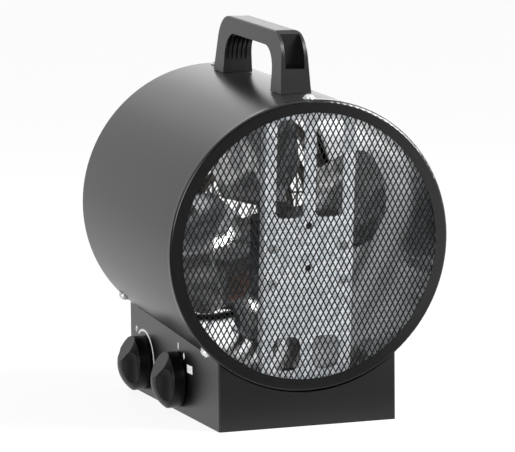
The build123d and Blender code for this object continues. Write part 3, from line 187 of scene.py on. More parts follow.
enamel, tree, place = start_material("gloss_black_enamel")
peel = add(tree, "ShaderNodeTexNoise", inputs={
    "Vector": place, "Scale": per_metre(ENAMEL_PEEL), "Detail": 1.0,
})
surface = add(tree, "ShaderNodeBsdfPrincipled", inputs={
    "Base Color": add(tree, "ShaderNodeMix", {"data_type": "RGBA"}, {
        0: peel, 6: linear("#030303"), 7: linear("#060607"),
    }),
    "Roughness": add(tree, "ShaderNodeMapRange", inputs={"Value": peel, "To Min": 0.18, "To Max": 0.25}),
    "Normal": add(tree, "ShaderNodeBump", inputs={"Height": peel, "Distance": 0.02 * MM, "Strength": 0.25}),
    "IOR": 1.5,
})
add(tree, "ShaderNodeOutputMaterial", inputs={"Surface": surface})
FINISHES["black_enamel"] = enamel
print("enamel, its peel", ENAMEL_PEEL, "mm across")

# %% [markdown]
# Expanded mesh is dipped in a thin satin paint that rounds its cut edges and pools at the knuckles, so
# it is glossier in some places than in others. A noise of about a knuckle's size stands for the pools. The
# ring's enamel could serve too, but strands this thin would glitter in it. A paint's IOR is about 1.5. It
# is set lower here, because the strands stay black under the lamps that make the plate behind them bright.

# %% Mesh paint
PAINT_POOL = 1.5

mesh_paint, tree, place = start_material("satin_black_mesh_paint")
pool = add(tree, "ShaderNodeTexNoise", inputs={"Vector": place, "Scale": per_metre(PAINT_POOL)})
surface = add(tree, "ShaderNodeBsdfPrincipled", inputs={
    "Base Color": add(tree, "ShaderNodeMix", {"data_type": "RGBA"}, {
        0: pool, 6: linear("#040405"), 7: linear("#080809"),
    }),
    "Roughness": add(tree, "ShaderNodeMapRange", inputs={"Value": pool, "To Min": 0.45, "To Max": 0.6}),
    "Normal": add(tree, "ShaderNodeBump", inputs={"Height": pool, "Distance": 0.04 * MM, "Strength": 0.5}),
    "IOR": 1.25,
})
add(tree, "ShaderNodeOutputMaterial", inputs={"Surface": surface})
FINISHES["black_mesh"] = mesh_paint
print("mesh paint, its pools", PAINT_POOL, "mm across")

# %% [markdown]
# Zinc that freezes on hot-dipped sheet grows flat crystals, the spangle. Each crystal tips the light
# another way, so a plate shows patches of light and dark with fine bright specks between them. A Voronoi
# pattern, its borders bent by a noise, gives the crystals at their real size, where a picture of zinc
# would have to be fitted to each face. Its colour holds both the crystals' own grain and a painted sheen:
# each crystal's tipped light is painted lighter or darker, and the specks are painted glints. A chalky
# film dulls the zinc, so it is only partly metallic, and that is why the plate looks nearly white under
# the lamps.

# %% Galvanised sheet
SPANGLE = 3.6
SPECK = 1.1
BORDER_BEND = 0.5 * SPANGLE * MM
SPECK_SHARE = 0.6

zinc, tree, place = start_material("hot_dip_galvanised_plate")
wander = add(tree, "ShaderNodeTexNoise", inputs={"Vector": place, "Scale": per_metre(SPANGLE)})
bent = add(tree, "ShaderNodeVectorMath", {"operation": "MULTIPLY_ADD"}, {
    0: wander.outputs["Color"], 1: (BORDER_BEND,) * 3, 2: place,
})
crystals = add(tree, "ShaderNodeTexVoronoi", {"feature": "F1"}, {
    "Vector": bent, "Scale": per_metre(SPANGLE),
})
crystal_grain_and_sheen = add(tree, "ShaderNodeSeparateColor", inputs={"Color": crystals.outputs["Color"]})
specks = add(tree, "ShaderNodeTexNoise", inputs={
    "Vector": place, "Scale": per_metre(SPECK), "Detail": 3.0, "Roughness": 0.7,
})
both = add(tree, "ShaderNodeMix", {"data_type": "FLOAT"}, {0: SPECK_SHARE, 2: crystal_grain_and_sheen, 3: specks})
# Painted sheen and glints: each crystal and speck makes the colour lighter or darker, standing for light that the
# crystals tip, over their own grain.
shade = add(tree, "ShaderNodeMapRange", inputs={"Value": both, "From Min": 0.3, "From Max": 0.7})
surface = add(tree, "ShaderNodeBsdfPrincipled", inputs={
    "Base Color": add(tree, "ShaderNodeMix", {"data_type": "RGBA"}, {
        0: shade, 6: linear("#bcc1c7"), 7: linear("#f0f3f6"),
    }),
    "Metallic": 0.35,
    "Roughness": add(tree, "ShaderNodeMapRange", inputs={"Value": shade, "To Min": 0.36, "To Max": 0.55}),
    "Normal": add(tree, "ShaderNodeBump", inputs={"Height": both, "Distance": 0.06 * MM, "Strength": 0.45}),
})
add(tree, "ShaderNodeOutputMaterial", inputs={"Surface": surface})
FINISHES["galvanised"] = zinc
print("galvanised sheet, its spangle", SPANGLE, "mm across")

# %% [markdown]
# The tube inside the drum is a thinner and brighter sheet, rolled round. Rolling leaves faint bands
# that run along the drum, and they draw what it mirrors into long soft streaks. The bands are too shallow
# to be worth modelling, so a noise stretched along the drum bends the light instead. The sheet's grain is
# drawn a millimetre across, coarser than the real one, because a finer one wouldn't show.

# %% Bright liner sheet
LINER_BAND = 14.0
BAND_STRETCH = (1.0, 0.06, 1.0)

liner, tree, place = start_material("bright_rolled_liner_sheet")
stretched = add(tree, "ShaderNodeMapping", inputs={"Vector": place, "Scale": BAND_STRETCH})
bands = add(tree, "ShaderNodeTexNoise", inputs={
    "Vector": stretched, "Scale": per_metre(LINER_BAND), "Detail": 3.0,
})
grain = add(tree, "ShaderNodeTexNoise", inputs={"Vector": place, "Scale": per_metre(SPECK), "Detail": 3.0})
surface = add(tree, "ShaderNodeBsdfPrincipled", inputs={
    "Base Color": add(tree, "ShaderNodeMix", {"data_type": "RGBA"}, {
        0: bands, 6: linear("#989c9e"), 7: linear("#b6babc"),
    }),
    "Metallic": 1.0,
    "Roughness": add(tree, "ShaderNodeMapRange", inputs={"Value": grain, "To Min": 0.16, "To Max": 0.24}),
    "Normal": add(tree, "ShaderNodeBump", inputs={"Height": bands, "Distance": 1.6 * MM, "Strength": 0.6}),
})
add(tree, "ShaderNodeOutputMaterial", inputs={"Surface": surface})
print("liner sheet, its bands", LINER_BAND, "mm apart")

# %% [markdown]
# Sheet, wire and bar that is drawn, rolled or ground keeps fine lines along its travel. A noise that is
# stretched along one direction draws them, and they spread a highlight across themselves. A second noise,
# some centimetres broad, drifts the colour and makes shallow waves, because thin sheet never stays quite
# flat when it is pressed. Five metals share this recipe, and a table holds what sets them apart. Films of
# oxide or of passivation dull zinc and aluminium, so those two aren't wholly metallic.

# %% Rolled, drawn and ground metals
METAL_DRIFT = 32.0
METAL_SMOOTHER, METAL_ROUGHER = 0.06, 0.08
LINE_DEPTH = 0.02

# Name, dark and light colour, metallic, roughness, size of the lines, their stretch, depth of the waves
METALS = {
    "bright_zinc": ("bright_zinc_plate", "#a9acad", "#e6e8e8", 0.65, 0.26, 0.4, (1.0, 1.0, 1.0), 0.0),
    "steel": ("ground_steel", "#8c8f91", "#c2c5c7", 1.0, 0.28, 0.3, (1.0, 0.1, 1.0), 0.0),
    "bronze": ("sintered_bronze", "#795a32", "#b58e56", 1.0, 0.45, 0.3, (1.0, 1.0, 1.0), 0.0),
    "fan_aluminium": ("mill_finish_aluminium", "#e2e4e5", "#fafafa", 0.85, 0.15, 0.6, (1.0, 1.0, 0.08), 14.0),
    "rod_stainless": ("heat_tinted_stainless", "#5f574f", "#a1978a", 1.0, 0.34, 0.5, (1.0, 1.0, 1.0), 0.0),
}
for slot, (name, dark, light, metallic, rough, line, stretch, wave) in METALS.items():
    FINISHES[slot], tree, place = start_material(name)
    stretched = add(tree, "ShaderNodeMapping", inputs={"Vector": place, "Scale": stretch})
    lines = add(tree, "ShaderNodeTexNoise", inputs={
        "Vector": stretched, "Scale": per_metre(line), "Detail": 3.0,
    })
    drift = add(tree, "ShaderNodeTexNoise", inputs={
        "Vector": place, "Scale": per_metre(METAL_DRIFT), "Detail": 0.0,
    })
    surface = add(tree, "ShaderNodeBsdfPrincipled", inputs={
        "Base Color": add(tree, "ShaderNodeMix", {"data_type": "RGBA"}, {
            0: drift, 6: linear(dark), 7: linear(light),
        }),
        "Metallic": metallic,
        "Roughness": add(tree, "ShaderNodeMapRange", inputs={
            "Value": lines, "To Min": rough - METAL_SMOOTHER, "To Max": rough + METAL_ROUGHER,
        }),
        "Normal": add(tree, "ShaderNodeBump", inputs={
            "Height": lines, "Distance": LINE_DEPTH * MM, "Strength": 0.3,
            "Normal": add(tree, "ShaderNodeBump", inputs={"Height": drift, "Distance": wave * MM}),
        }),
    })
    add(tree, "ShaderNodeOutputMaterial", inputs={"Surface": surface})
print("metals", sorted(METALS))

# %% [markdown]
# Moulded parts take the tool's texture. Nylon and ABS come out with a fine matt grain, phenolic smoother,
# rubber dull, and glazed ceramic glossy. Seven materials of their own would say the same thing seven times,
# so they share one recipe: a colour that drifts a little, and a grain with its own size and depth. Each
# IOR is the usual one, but for the knobs': their facets are blacker than their gloss would make them.

# %% Moulded and fired parts
MOULDING_DRIFT = 18.0
MOULDING_SMOOTHER, MOULDING_ROUGHER = 0.05, 0.06

# Name, dark and light colour, roughness, size of the grain, its depth, IOR
MOULDINGS = {
    "ceramic": ("glazed_steatite", "#d6cfc0", "#eee9de", 0.25, 1.2, 0.01, 1.55),
    "phenolic": ("moulded_phenolic", "#2c1b15", "#4b3126", 0.42, 0.8, 0.02, 1.6),
    "handle_plastic": ("fine_textured_nylon", "#060505", "#0b0a09", 0.32, 0.6, 0.04, 1.5),
    "knob_plastic": ("semi_gloss_black_abs", "#020202", "#040404", 0.34, 1.4, 0.01, 1.32),
    "control_plastic": ("off_white_polyamide", "#c9c5b8", "#dfdcd3", 0.5, 0.7, 0.02, 1.5),
    "black_plastic": ("black_polyamide", "#161618", "#28282b", 0.5, 0.7, 0.03, 1.5),
    "rubber_black": ("black_rubber", "#121213", "#222223", 0.75, 0.5, 0.03, 1.52),
}
for slot, (name, dark, light, rough, size, depth, ior) in MOULDINGS.items():
    FINISHES[slot], tree, place = start_material(name)
    drift = add(tree, "ShaderNodeTexNoise", inputs={"Vector": place, "Scale": per_metre(MOULDING_DRIFT)})
    grain = add(tree, "ShaderNodeTexNoise", inputs={"Vector": place, "Scale": per_metre(size)})
    surface = add(tree, "ShaderNodeBsdfPrincipled", inputs={
        "Base Color": add(tree, "ShaderNodeMix", {"data_type": "RGBA"}, {
            0: drift, 6: linear(dark), 7: linear(light),
        }),
        "Roughness": add(tree, "ShaderNodeMapRange", inputs={
            "Value": grain, "To Min": rough - MOULDING_SMOOTHER, "To Max": rough + MOULDING_ROUGHER,
        }),
        "Normal": add(tree, "ShaderNodeBump", inputs={
            "Height": grain, "Distance": depth * MM, "Strength": 0.6,
        }),
        "IOR": ior,
    })
    add(tree, "ShaderNodeOutputMaterial", inputs={"Surface": surface})
print("mouldings", sorted(MOULDINGS))

# %% [markdown]
# A motor's stack is made of many thin steel sheets. Their edges show as fine lines across the stack,
# half a millimetre apart along the drum. The sheets could be modelled one by one, but the stack hardly
# shows behind the plate, so a wave pattern in bands draws them, and its bump lets each sheet's edge catch
# the light. At a scale of 1 the pattern has 20 / (2 pi) waves in each unit. A varnish makes the steel dark.

# %% Laminations
LAMINATION = 0.5
WAVES_PER_UNIT = 20.0 / (2 * pi)
VARNISH_STAIN = 12.0

stack, tree, place = start_material("varnished_steel_laminations")
bands = add(tree, "ShaderNodeTexWave", {"wave_type": "BANDS", "bands_direction": "Y"}, {
    "Vector": place, "Scale": per_metre(LAMINATION) / WAVES_PER_UNIT, "Distortion": 0.4, "Detail": 1.0,
})
stain = add(tree, "ShaderNodeTexNoise", inputs={"Vector": place, "Scale": per_metre(VARNISH_STAIN)})
surface = add(tree, "ShaderNodeBsdfPrincipled", inputs={
    "Base Color": add(tree, "ShaderNodeMix", {"data_type": "RGBA"}, {
        0: stain, 6: linear("#202225"), 7: linear("#3e4146"),
    }),
    "Metallic": 0.7,
    "Roughness": add(tree, "ShaderNodeMapRange", inputs={
        "Value": bands.outputs["Fac"], "To Min": 0.38, "To Max": 0.55,
    }),
    "Normal": add(tree, "ShaderNodeBump", inputs={
        "Height": bands.outputs["Fac"], "Distance": 0.05 * MM, "Strength": 0.5,
    }),
})
add(tree, "ShaderNodeOutputMaterial", inputs={"Surface": surface})
FINISHES["blued_steel"] = stack
print("laminations", LAMINATION, "mm thick")

# %% [markdown]
# The winding is copper wire in a brown enamel, held by varnish that lies thicker between the turns, so
# the wire is a little duller in some places than in others. One noise changes its colour, gloss and bump
# together. That is enough for a piece that is only seen between other pieces.

# %% Enamelled copper
VARNISH = 5.0

copper, tree, place = start_material("enamelled_copper_wire")
varnish = add(tree, "ShaderNodeTexNoise", inputs={
    "Vector": place, "Scale": per_metre(VARNISH), "Detail": 3.0,
})
surface = add(tree, "ShaderNodeBsdfPrincipled", inputs={
    "Base Color": add(tree, "ShaderNodeMix", {"data_type": "RGBA"}, {
        0: varnish, 6: linear("#4a2613"), 7: linear("#97552c"),
    }),
    "Metallic": 0.6,
    "Roughness": add(tree, "ShaderNodeMapRange", inputs={"Value": varnish, "To Min": 0.28, "To Max": 0.44}),
    "Normal": add(tree, "ShaderNodeBump", inputs={"Height": varnish, "Distance": 0.1 * MM, "Strength": 0.4}),
})
add(tree, "ShaderNodeOutputMaterial", inputs={"Surface": surface})
FINISHES["winding"] = copper
print("copper, its varnish", VARNISH, "mm across")

# %% [markdown]
# Each material slot of the record has its finish now, and every node is given the one for its slot, in
# place of the plain one that it came with. The liner is of the same zinc-coated sheet as the plate, but it
# was rolled bright, so it takes its own.

# %% Finishes on the nodes
for part in frame["record"]["subparts"]:
    slots = nodes[part["node"]].data.materials
    slots.clear()
    slots.append(liner if part["node"] == "inner_liner" else FINISHES[part["material_slot"]])
print("finishes", len(FINISHES), "on", len(nodes), "nodes")

# %% [markdown]
# Geometry Nodes build what repeats by a rule. A tree starts with a material and a named input for each
# of its sizes, and ends by making its instances real and giving them the material. The result is read
# back as a plain mesh, so nothing has to be worked out again when the heater moves.

# %% Helpers for geometry trees
def start_tree(name, sizes):
    """An empty geometry tree with a named input for each size, and those inputs' sockets."""
    tree = bpy.data.node_groups.new(name, "GeometryNodeTree")
    tree.interface.new_socket("Geometry", in_out="OUTPUT", socket_type="NodeSocketGeometry")
    tree.interface.new_socket("Geometry", in_out="INPUT", socket_type="NodeSocketGeometry")
    tree.interface.new_socket("Material", in_out="INPUT", socket_type="NodeSocketMaterial")
    for size, kind in sizes.items():
        tree.interface.new_socket(size, in_out="INPUT", socket_type="NodeSocket" + kind)
    return tree, add(tree, "NodeGroupInput").outputs


def end_tree(tree, geometry, material):
    """The tree's last nodes: real copies for instances, then the material, then the way out."""
    whole = add(tree, "GeometryNodeRealizeInstances", inputs={"Geometry": geometry})
    dressed = add(tree, "GeometryNodeSetMaterial", inputs={"Geometry": whole, "Material": material})
    add(tree, "NodeGroupOutput", inputs={"Geometry": dressed})


def run_tree(tree, mesh, values):
    """The mesh that the tree makes from another one, with these values for its inputs."""
    piece = bpy.data.objects.new(tree.name, mesh)
    bpy.context.scene.collection.objects.link(piece)
    modifier = piece.modifiers.new("nodes", "NODES")
    modifier.node_group = tree
    for item in tree.interface.items_tree:
        if item.in_out == "INPUT" and item.name in values:
            modifier[item.identifier] = values[item.name]
    graph = bpy.context.evaluated_depsgraph_get()
    made = bpy.data.meshes.new_from_object(piece.evaluated_get(graph))
    bpy.data.objects.remove(piece)
    return made


def new_piece(name, mesh, replaced=None):
    """A piece on the heater's frame, that may stand for a node."""
    mesh.name = name
    piece = bpy.data.objects.new(name, mesh)
    bpy.context.scene.collection.objects.link(piece)
    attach(piece, "frame")
    if replaced:
        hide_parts(replaced)
    print(name, "has", len(mesh.polygons), "faces")


print("the plain model has", sum(len(node.data.polygons) for node in nodes.values()), "faces")

# %% [markdown]
# The expanded mesh is a sheet that was slit and pulled open into diamonds. Modelling each one by hand
# would be hopeless, and the rule is simple, so nodes build it: two staggered grids of points, a diamond
# ring on each point, neighbours merged along their shared edges, then a thickness. Pulling tips each
# strand, so one end of an opening stands before the sheet's middle and the other end behind it.

# %% Expanded mesh, as a tree
def expanded_mesh_tree():
    """A tree that fills a disc with diamond openings, as a sheet that faces up the z axis."""
    tree, given = start_tree("expanded_mesh_tree", {
        "Columns": "Int", "Rows": "Int", "Field Width": "Float", "Field Height": "Float",
        "Half Cell": "Vector", "Reach": "Float", "Opening Share": "Float", "Lean": "Float",
        "Thickness": "Float", "Weld": "Float",
    })
    grid = add(tree, "GeometryNodeMeshGrid", inputs={
        "Size X": given["Field Width"], "Size Y": given["Field Height"],
        "Vertices X": given["Columns"], "Vertices Y": given["Rows"],
    })
    staggered = add(tree, "GeometryNodeSetPosition", inputs={
        "Geometry": grid, "Offset": given["Half Cell"],
    })
    centres = add(tree, "GeometryNodeJoinGeometry")
    for points in (grid, staggered):
        tree.links.new(points.outputs[0], centres.inputs[0])
    position = add(tree, "GeometryNodeInputPosition")
    distance = add(tree, "ShaderNodeVectorMath", {"operation": "LENGTH"}, {0: position}).outputs["Value"]
    outside = add(tree, "FunctionNodeCompare", {"data_type": "FLOAT", "operation": "GREATER_THAN"}, {
        0: distance, 1: given["Reach"],
    })
    kept = add(tree, "GeometryNodeDeleteGeometry", {"domain": "POINT"}, {
        "Geometry": centres, "Selection": outside,
    })

    square = add(tree, "GeometryNodeMeshCircle", {"fill_type": "NGON"}, {"Vertices": 4, "Radius": 1.0})
    size = add(tree, "ShaderNodeVectorMath", {"operation": "ADD"}, {
        0: given["Half Cell"], 1: (0.0, 0.0, 1.0),
    })
    diamond = add(tree, "GeometryNodeTransform", inputs={"Geometry": square, "Scale": size})
    inset = add(tree, "GeometryNodeExtrudeMesh", {"mode": "FACES"}, {"Mesh": diamond, "Offset Scale": 0.0})
    opening = inset.outputs["Top"]
    shrunk = add(tree, "GeometryNodeScaleElements", {"domain": "FACE"}, {
        "Geometry": inset.outputs["Mesh"], "Selection": opening, "Scale": given["Opening Share"],
    })
    along = add(tree, "ShaderNodeSeparateXYZ", inputs={0: position}).outputs["Y"]
    tipped = add(tree, "ShaderNodeMath", {"operation": "MULTIPLY"}, {0: along, 1: given["Lean"]})
    leaning = add(tree, "GeometryNodeSetPosition", inputs={
        "Geometry": shrunk, "Selection": opening,
        "Offset": add(tree, "ShaderNodeCombineXYZ", inputs={"Z": tipped}),
    })
    ring = add(tree, "GeometryNodeDeleteGeometry", {"domain": "FACE", "mode": "ONLY_FACE"}, {
        "Geometry": leaning, "Selection": opening,
    })

    cells = add(tree, "GeometryNodeInstanceOnPoints", inputs={"Points": kept, "Instance": ring})
    loose = add(tree, "GeometryNodeRealizeInstances", inputs={"Geometry": cells})
    sheet = add(tree, "GeometryNodeMergeByDistance", inputs={
        "Geometry": loose, "Distance": given["Weld"],
    })
    front = add(tree, "GeometryNodeExtrudeMesh", {"mode": "FACES"}, {
        "Mesh": sheet, "Individual": False, "Offset Scale": given["Thickness"], "Offset": (0.0, 0.0, 1.0),
    })
    back = add(tree, "GeometryNodeFlipFaces", inputs={"Mesh": sheet})
    shell = add(tree, "GeometryNodeJoinGeometry")
    for half in (front, back):
        tree.links.new(half.outputs[0], shell.inputs[0])
    closed = add(tree, "GeometryNodeMergeByDistance", inputs={
        "Geometry": shell, "Distance": given["Weld"],
    })
    end_tree(tree, closed, given["Material"])
    return tree


MESH_TREE = expanded_mesh_tree()
print("mesh tree", len(MESH_TREE.nodes), "nodes")

# %% [markdown]
# The cells that show are 4.3 mm by 8.1 mm, with strands about 0.8 mm wide. The disc is as large as
# the plain one that it stands for, and lies in the middle of its thickness. Both are measured on that
# plain disc, so the fine mesh follows it if its size changes.

# %% Expanded mesh, made and placed
CELL = (4.3 * MM, 8.1 * MM)
STRAND_WIDTH = 0.82 * MM
STRAND_THICKNESS = 0.5 * MM
STRAND_TIP = 0.24 * MM
WELD = 0.01 * MM

disc = [drum.inverted() @ vertex.co for vertex in nodes["front_mesh"].data.vertices]
disc_middle = (min(point.y for point in disc) + max(point.y for point in disc)) / 2
disc_radius = max(hypot(point.x, point.z) for point in disc)
steps = [2 * ceil(disc_radius / size) for size in CELL]
opening_share = 1 - STRAND_WIDTH * hypot(*CELL) / (CELL[0] * CELL[1])
expanded = run_tree(MESH_TREE, bpy.data.meshes.new("seed"), {
    "Material": FINISHES["black_mesh"],
    "Columns": steps[0] + 1,
    "Rows": steps[1] + 1,
    "Field Width": steps[0] * CELL[0],
    "Field Height": steps[1] * CELL[1],
    "Half Cell": (CELL[0] / 2, CELL[1] / 2, 0.0),
    "Reach": disc_radius - CELL[1] / 2,
    "Opening Share": opening_share,
    "Lean": 2 * STRAND_TIP / (opening_share * CELL[1]),
    "Thickness": STRAND_THICKNESS,
    "Weld": WELD,
})
upright_disc = Matrix((
    (1, 0, 0, 0), (0, 0, -1, disc_middle + STRAND_THICKNESS / 2), (0, 1, 0, 0), (0, 0, 0, 1),
))
expanded.transform(drum @ upright_disc)
new_piece("expanded_mesh", expanded, "front_mesh")

# %% [markdown]
# Screws come in three kinds here, and each is dressed with a real head and a cross recess. A head could
# be modelled by hand for each kind. It is a turned shape, though, so one function turns a half outline
# round an axis, as a lathe would, and each kind is no more than its outline.

# %% Turned shapes
TURN_STEPS = 40
SHARED_EDGE = 0.001 * MM


def lathe(name, outline):
    """A closed shape turned round the z axis from a half outline of (radius, height) points."""
    shape = bmesh.new()
    rings = []
    for radius, height in outline:
        places = TURN_STEPS if radius else 1
        angles = [2 * pi * i / TURN_STEPS for i in range(places)]
        rings.append([shape.verts.new((radius * cos(turn), radius * sin(turn), height)) for turn in angles])
    for lower, upper in zip(rings, rings[1:]):
        for i in range(TURN_STEPS):
            j = (i + 1) % TURN_STEPS
            corners = [ring[k % len(ring)] for ring, k in ((lower, i), (lower, j), (upper, j), (upper, i))]
            shape.faces.new(list(dict.fromkeys(corners)))
    bmesh.ops.recalc_face_normals(shape, faces=shape.faces)
    mesh = bpy.data.meshes.new(name)
    shape.to_mesh(mesh)
    shape.free()
    return mesh


print("a turned shape has", TURN_STEPS, "steps round its axis")

# %% [markdown]
# A driver's cross recess is two crossed slots whose walls draw in towards the bottom. Cutting it out with
# a boolean keeps the head's own faces as they were, which a recess drawn into the head would not.

# %% Cross recess, and one screw
RECESS_BOTTOM = 0.55
CUTTER_RISE = 0.2 * MM


def cross_cutter(reach, width, depth, top):
    """A cross whose sides draw in towards the bottom of the recess."""
    shape = bmesh.new()
    for long, short in ((reach, width / 2), (width / 2, reach)):
        upper, lower = [
            [shape.verts.new((x * long * share, y * short * share, height))
             for x, y in ((-1, -1), (1, -1), (1, 1), (-1, 1))]
            for height, share in ((top, 1.0), (top - depth, RECESS_BOTTOM))
        ]
        shape.faces.new(upper)
        shape.faces.new(list(reversed(lower)))
        for i in range(4):
            j = (i + 1) % 4
            shape.faces.new((lower[i], lower[j], upper[j], upper[i]))
    bmesh.ops.recalc_face_normals(shape, faces=shape.faces)
    mesh = bpy.data.meshes.new("cross_cutter")
    shape.to_mesh(mesh)
    shape.free()
    return mesh


def screw(outline, recess):
    """A turned screw with a cross recess of (reach, width, depth), as an object."""
    body = bpy.data.objects.new("screw", lathe("screw", outline))
    top = max(height for _, height in outline)
    cutter = bpy.data.objects.new("cutter", cross_cutter(*recess, top + CUTTER_RISE))
    for thing in (body, cutter):
        bpy.context.scene.collection.objects.link(thing)
    cut = body.modifiers.new("recess", "BOOLEAN")
    cut.object = cutter
    cut.solver = "EXACT"
    cut.use_self = True
    graph = bpy.context.evaluated_depsgraph_get()
    body_mesh = bpy.data.meshes.new_from_object(body.evaluated_get(graph))
    body.modifiers.remove(cut)
    body.data = body_mesh
    bpy.data.objects.remove(cutter)
    return body


trial = cross_cutter(reach=2.0 * MM, width=0.9 * MM, depth=1.9 * MM, top=0.0)
print("a cross recess is cut by", len(trial.polygons), "faces")
bpy.data.meshes.remove(trial)

# %% [markdown]
# A small tree puts one screw on each seat, points it the way that the seat says, and gives it its own
# turn with a fixed seed, because no two screws are driven alike. A loop could place copies as well, but
# in nodes the seats, the turn and the seed stay named inputs that can be changed afterwards.

# %% Screws on seats, as a tree
def screw_tree():
    """A tree that stands one screw on each point, along that point's own way out."""
    tree, given = start_tree("screws_on_seats", {
        "Screw": "Object", "Size": "Float", "Most Turn": "Float", "Seed": "Int",
    })
    one = add(tree, "GeometryNodeObjectInfo", inputs={"Object": given["Screw"]}).outputs["Geometry"]
    way_out = add(tree, "GeometryNodeInputNamedAttribute", {"data_type": "FLOAT_VECTOR"}, {
        "Name": "way_out",
    }).outputs[0]
    aimed = add(tree, "FunctionNodeAlignRotationToVector", {"axis": "Z"}, {"Vector": way_out})
    roll = add(tree, "FunctionNodeRandomValue", {"data_type": "FLOAT"}, {
        2: 0.0, 3: given["Most Turn"], "Seed": given["Seed"],
    }).outputs[1]
    turn = add(tree, "FunctionNodeAxisAngleToRotation", inputs={"Axis": (0.0, 0.0, 1.0), "Angle": roll})
    turned = add(tree, "FunctionNodeRotateRotation", {"rotation_space": "LOCAL"}, {
        "Rotation": aimed, "Rotate By": turn,
    })
    placed = add(tree, "GeometryNodeInstanceOnPoints", inputs={
        "Points": given["Geometry"], "Instance": one, "Rotation": turned, "Scale": given["Size"],
    })
    end_tree(tree, placed, given["Material"])
    return tree


SCREW_TREE = screw_tree()
print("screw tree", len(SCREW_TREE.nodes), "nodes")

# %% [markdown]
# The seats are read from the plain screws of the model. A node's mesh holds several of them, so it is
# first parted into its separate solids. Each solid's ends along its own way out give the seat's place
# and the length of the shank. The corners still to visit are kept in a dict, which has an order where a
# set has none, and the seats are sorted by rounded places. So each screw draws the same turn in every run.

# %% Seats of the plain screws
def islands(mesh):
    """The separate solids of a mesh, each as a list of its corners."""
    shape = bmesh.new()
    shape.from_mesh(mesh)
    bmesh.ops.remove_doubles(shape, verts=shape.verts, dist=SHARED_EDGE)
    unseen = dict.fromkeys(shape.verts)
    found = []
    while unseen:
        waiting = [unseen.popitem()[0]]
        corners = []
        while waiting:
            vertex = waiting.pop()
            corners.append(vertex.co.copy())
            for edge in vertex.link_edges:
                other = edge.other_vert(vertex)
                if other in unseen:
                    del unseen[other]
                    waiting.append(other)
        found.append(corners)
    shape.free()
    return found


def seats(node, head_height, way_out):
    """Where each screw of a node sits: the place under its head, its way out, its shank's length."""
    found = []
    for corners in islands(nodes[node].data):
        out = way_out(drum.inverted() @ (sum(corners, Vector()) / len(corners)))
        across = out.orthogonal().normalized()
        spans = {}
        for way in (out, across, out.cross(across)):
            reaches = [corner.dot(way) for corner in corners]
            spans[way.freeze()] = min(reaches), max(reaches)
        place = sum((way * (low + high) / 2 for way, (low, high) in spans.items()), Vector())
        low, high = spans[out]
        place += out * ((high - low) / 2 - head_height)
        found.append((place, out, high - low - head_height))
    return sorted(found, key=lambda seat: [round(value / MM, 1) for value in seat[0]])


def radially(middle):
    """Straight out from the drum's axis, for a screw whose middle is given in drum places."""
    return (drum.to_3x3() @ Vector((middle.x, 0, middle.z))).normalized()


print("solids in casing_screws", len(islands(nodes["casing_screws"].data)))

# %% [markdown]
# The drum's screws have a broad flange and a low dome. The motor's have plain pan heads, and the base's
# are countersunk. All are zinc-plated, and their threads are out of sight, so the shanks are smooth. The
# outlines are in millimetres, from the seat upwards.

# %% Outlines of the screws
DOME_FOOT, DOME_RISE, DOME_RADIUS = 1.0, 2.4, 3.9
DOME_STEP = pi / 12
CASING_HEAD = DOME_FOOT + DOME_RISE
CASING_DOME = [
    (DOME_RADIUS * cos(step * DOME_STEP), DOME_FOOT + DOME_RISE * sin(step * DOME_STEP))
    for step in range(1, 6)
]

# The head's outline, the shank's radius, the recess's reach, width and depth, the way out of the seat
SCREW_KINDS = {
    "casing_screws": (
        [
            (4.75, 0.0), (4.9, 0.15), (4.9, 0.55), (4.6, 0.8), (DOME_RADIUS, 0.85),
            *CASING_DOME, (0, CASING_HEAD),
        ],
        1.9, (2.3, 0.95, 1.9), radially,
    ),
    "motor_screws": (
        [(3.3, 0.0), (3.4, 0.1), (3.4, 0.9), (3.2, 1.4), (2.7, 1.7), (2.2, 1.8), (0, 1.8)],
        1.9, (1.9, 0.8, 1.3), lambda middle: -drum_along,
    ),
    "base_screws": (
        [(2.85, 1.35), (2.85, 1.4), (0, 1.4)],
        1.5, (1.7, 0.75, 1.2), lambda middle: Vector((0, 0, -1)),
    ),
}
casing_seats = seats("casing_screws", CASING_HEAD * MM, radially)
print("casing screws have shanks of", [round(length / MM, 1) for _, _, length in casing_seats], "mm")

# %% [markdown]
# The seats of a node are grouped by the length of their shanks, and each group is one run of the tree.
# All the screws of a node end up in one mesh, because they are one piece to the rest of the file.

# %% Screws, made and placed
MOST_TURN = pi / 2
DRIVE_SEED = 3


def dressed_screws(node, head, shank_radius, recess, way_out):
    """One mesh with all the screws of a node, its seats grouped by the length of their shanks."""
    head_height = head[-1][1] * MM
    groups = {}
    for place, out, length in seats(node, head_height, way_out):
        groups.setdefault(round(length / MM, 1), []).append((place, out))
    whole = bmesh.new()
    for length, group in groups.items():
        outline = [(0, -length), (shank_radius, -length), (shank_radius, 0), *head]
        one = screw([(r * MM, h * MM) for r, h in outline], [size * MM for size in recess])
        points = bpy.data.meshes.new("seats")
        points.from_pydata([place for place, _ in group], [], [])
        ways = points.attributes.new("way_out", "FLOAT_VECTOR", "POINT")
        ways.data.foreach_set("vector", [value for _, out in group for value in out])
        whole.from_mesh(run_tree(SCREW_TREE, points, {
            "Material": FINISHES["bright_zinc"], "Screw": one, "Size": 1.0,
            "Most Turn": MOST_TURN, "Seed": DRIVE_SEED,
        }))
        bpy.data.objects.remove(one)
    mesh = bpy.data.meshes.new(node)
    whole.to_mesh(mesh)
    whole.free()
    mesh.materials.append(FINISHES["bright_zinc"])
    return mesh


for node, kind in SCREW_KINDS.items():
    new_piece(node + "_dressed", dressed_screws(node, *kind), node)

# %% [markdown]
# White marks are screen-printed beside each knob: an arc that shows which way the heat rises, and small
# plain signs for off, fan and heat. Printed ink is a thin satin film that has worn a little here and
# there, so a fine noise moves it between two whites and between two glosses.

# %% Printing ink
INK_WEAR = 0.7

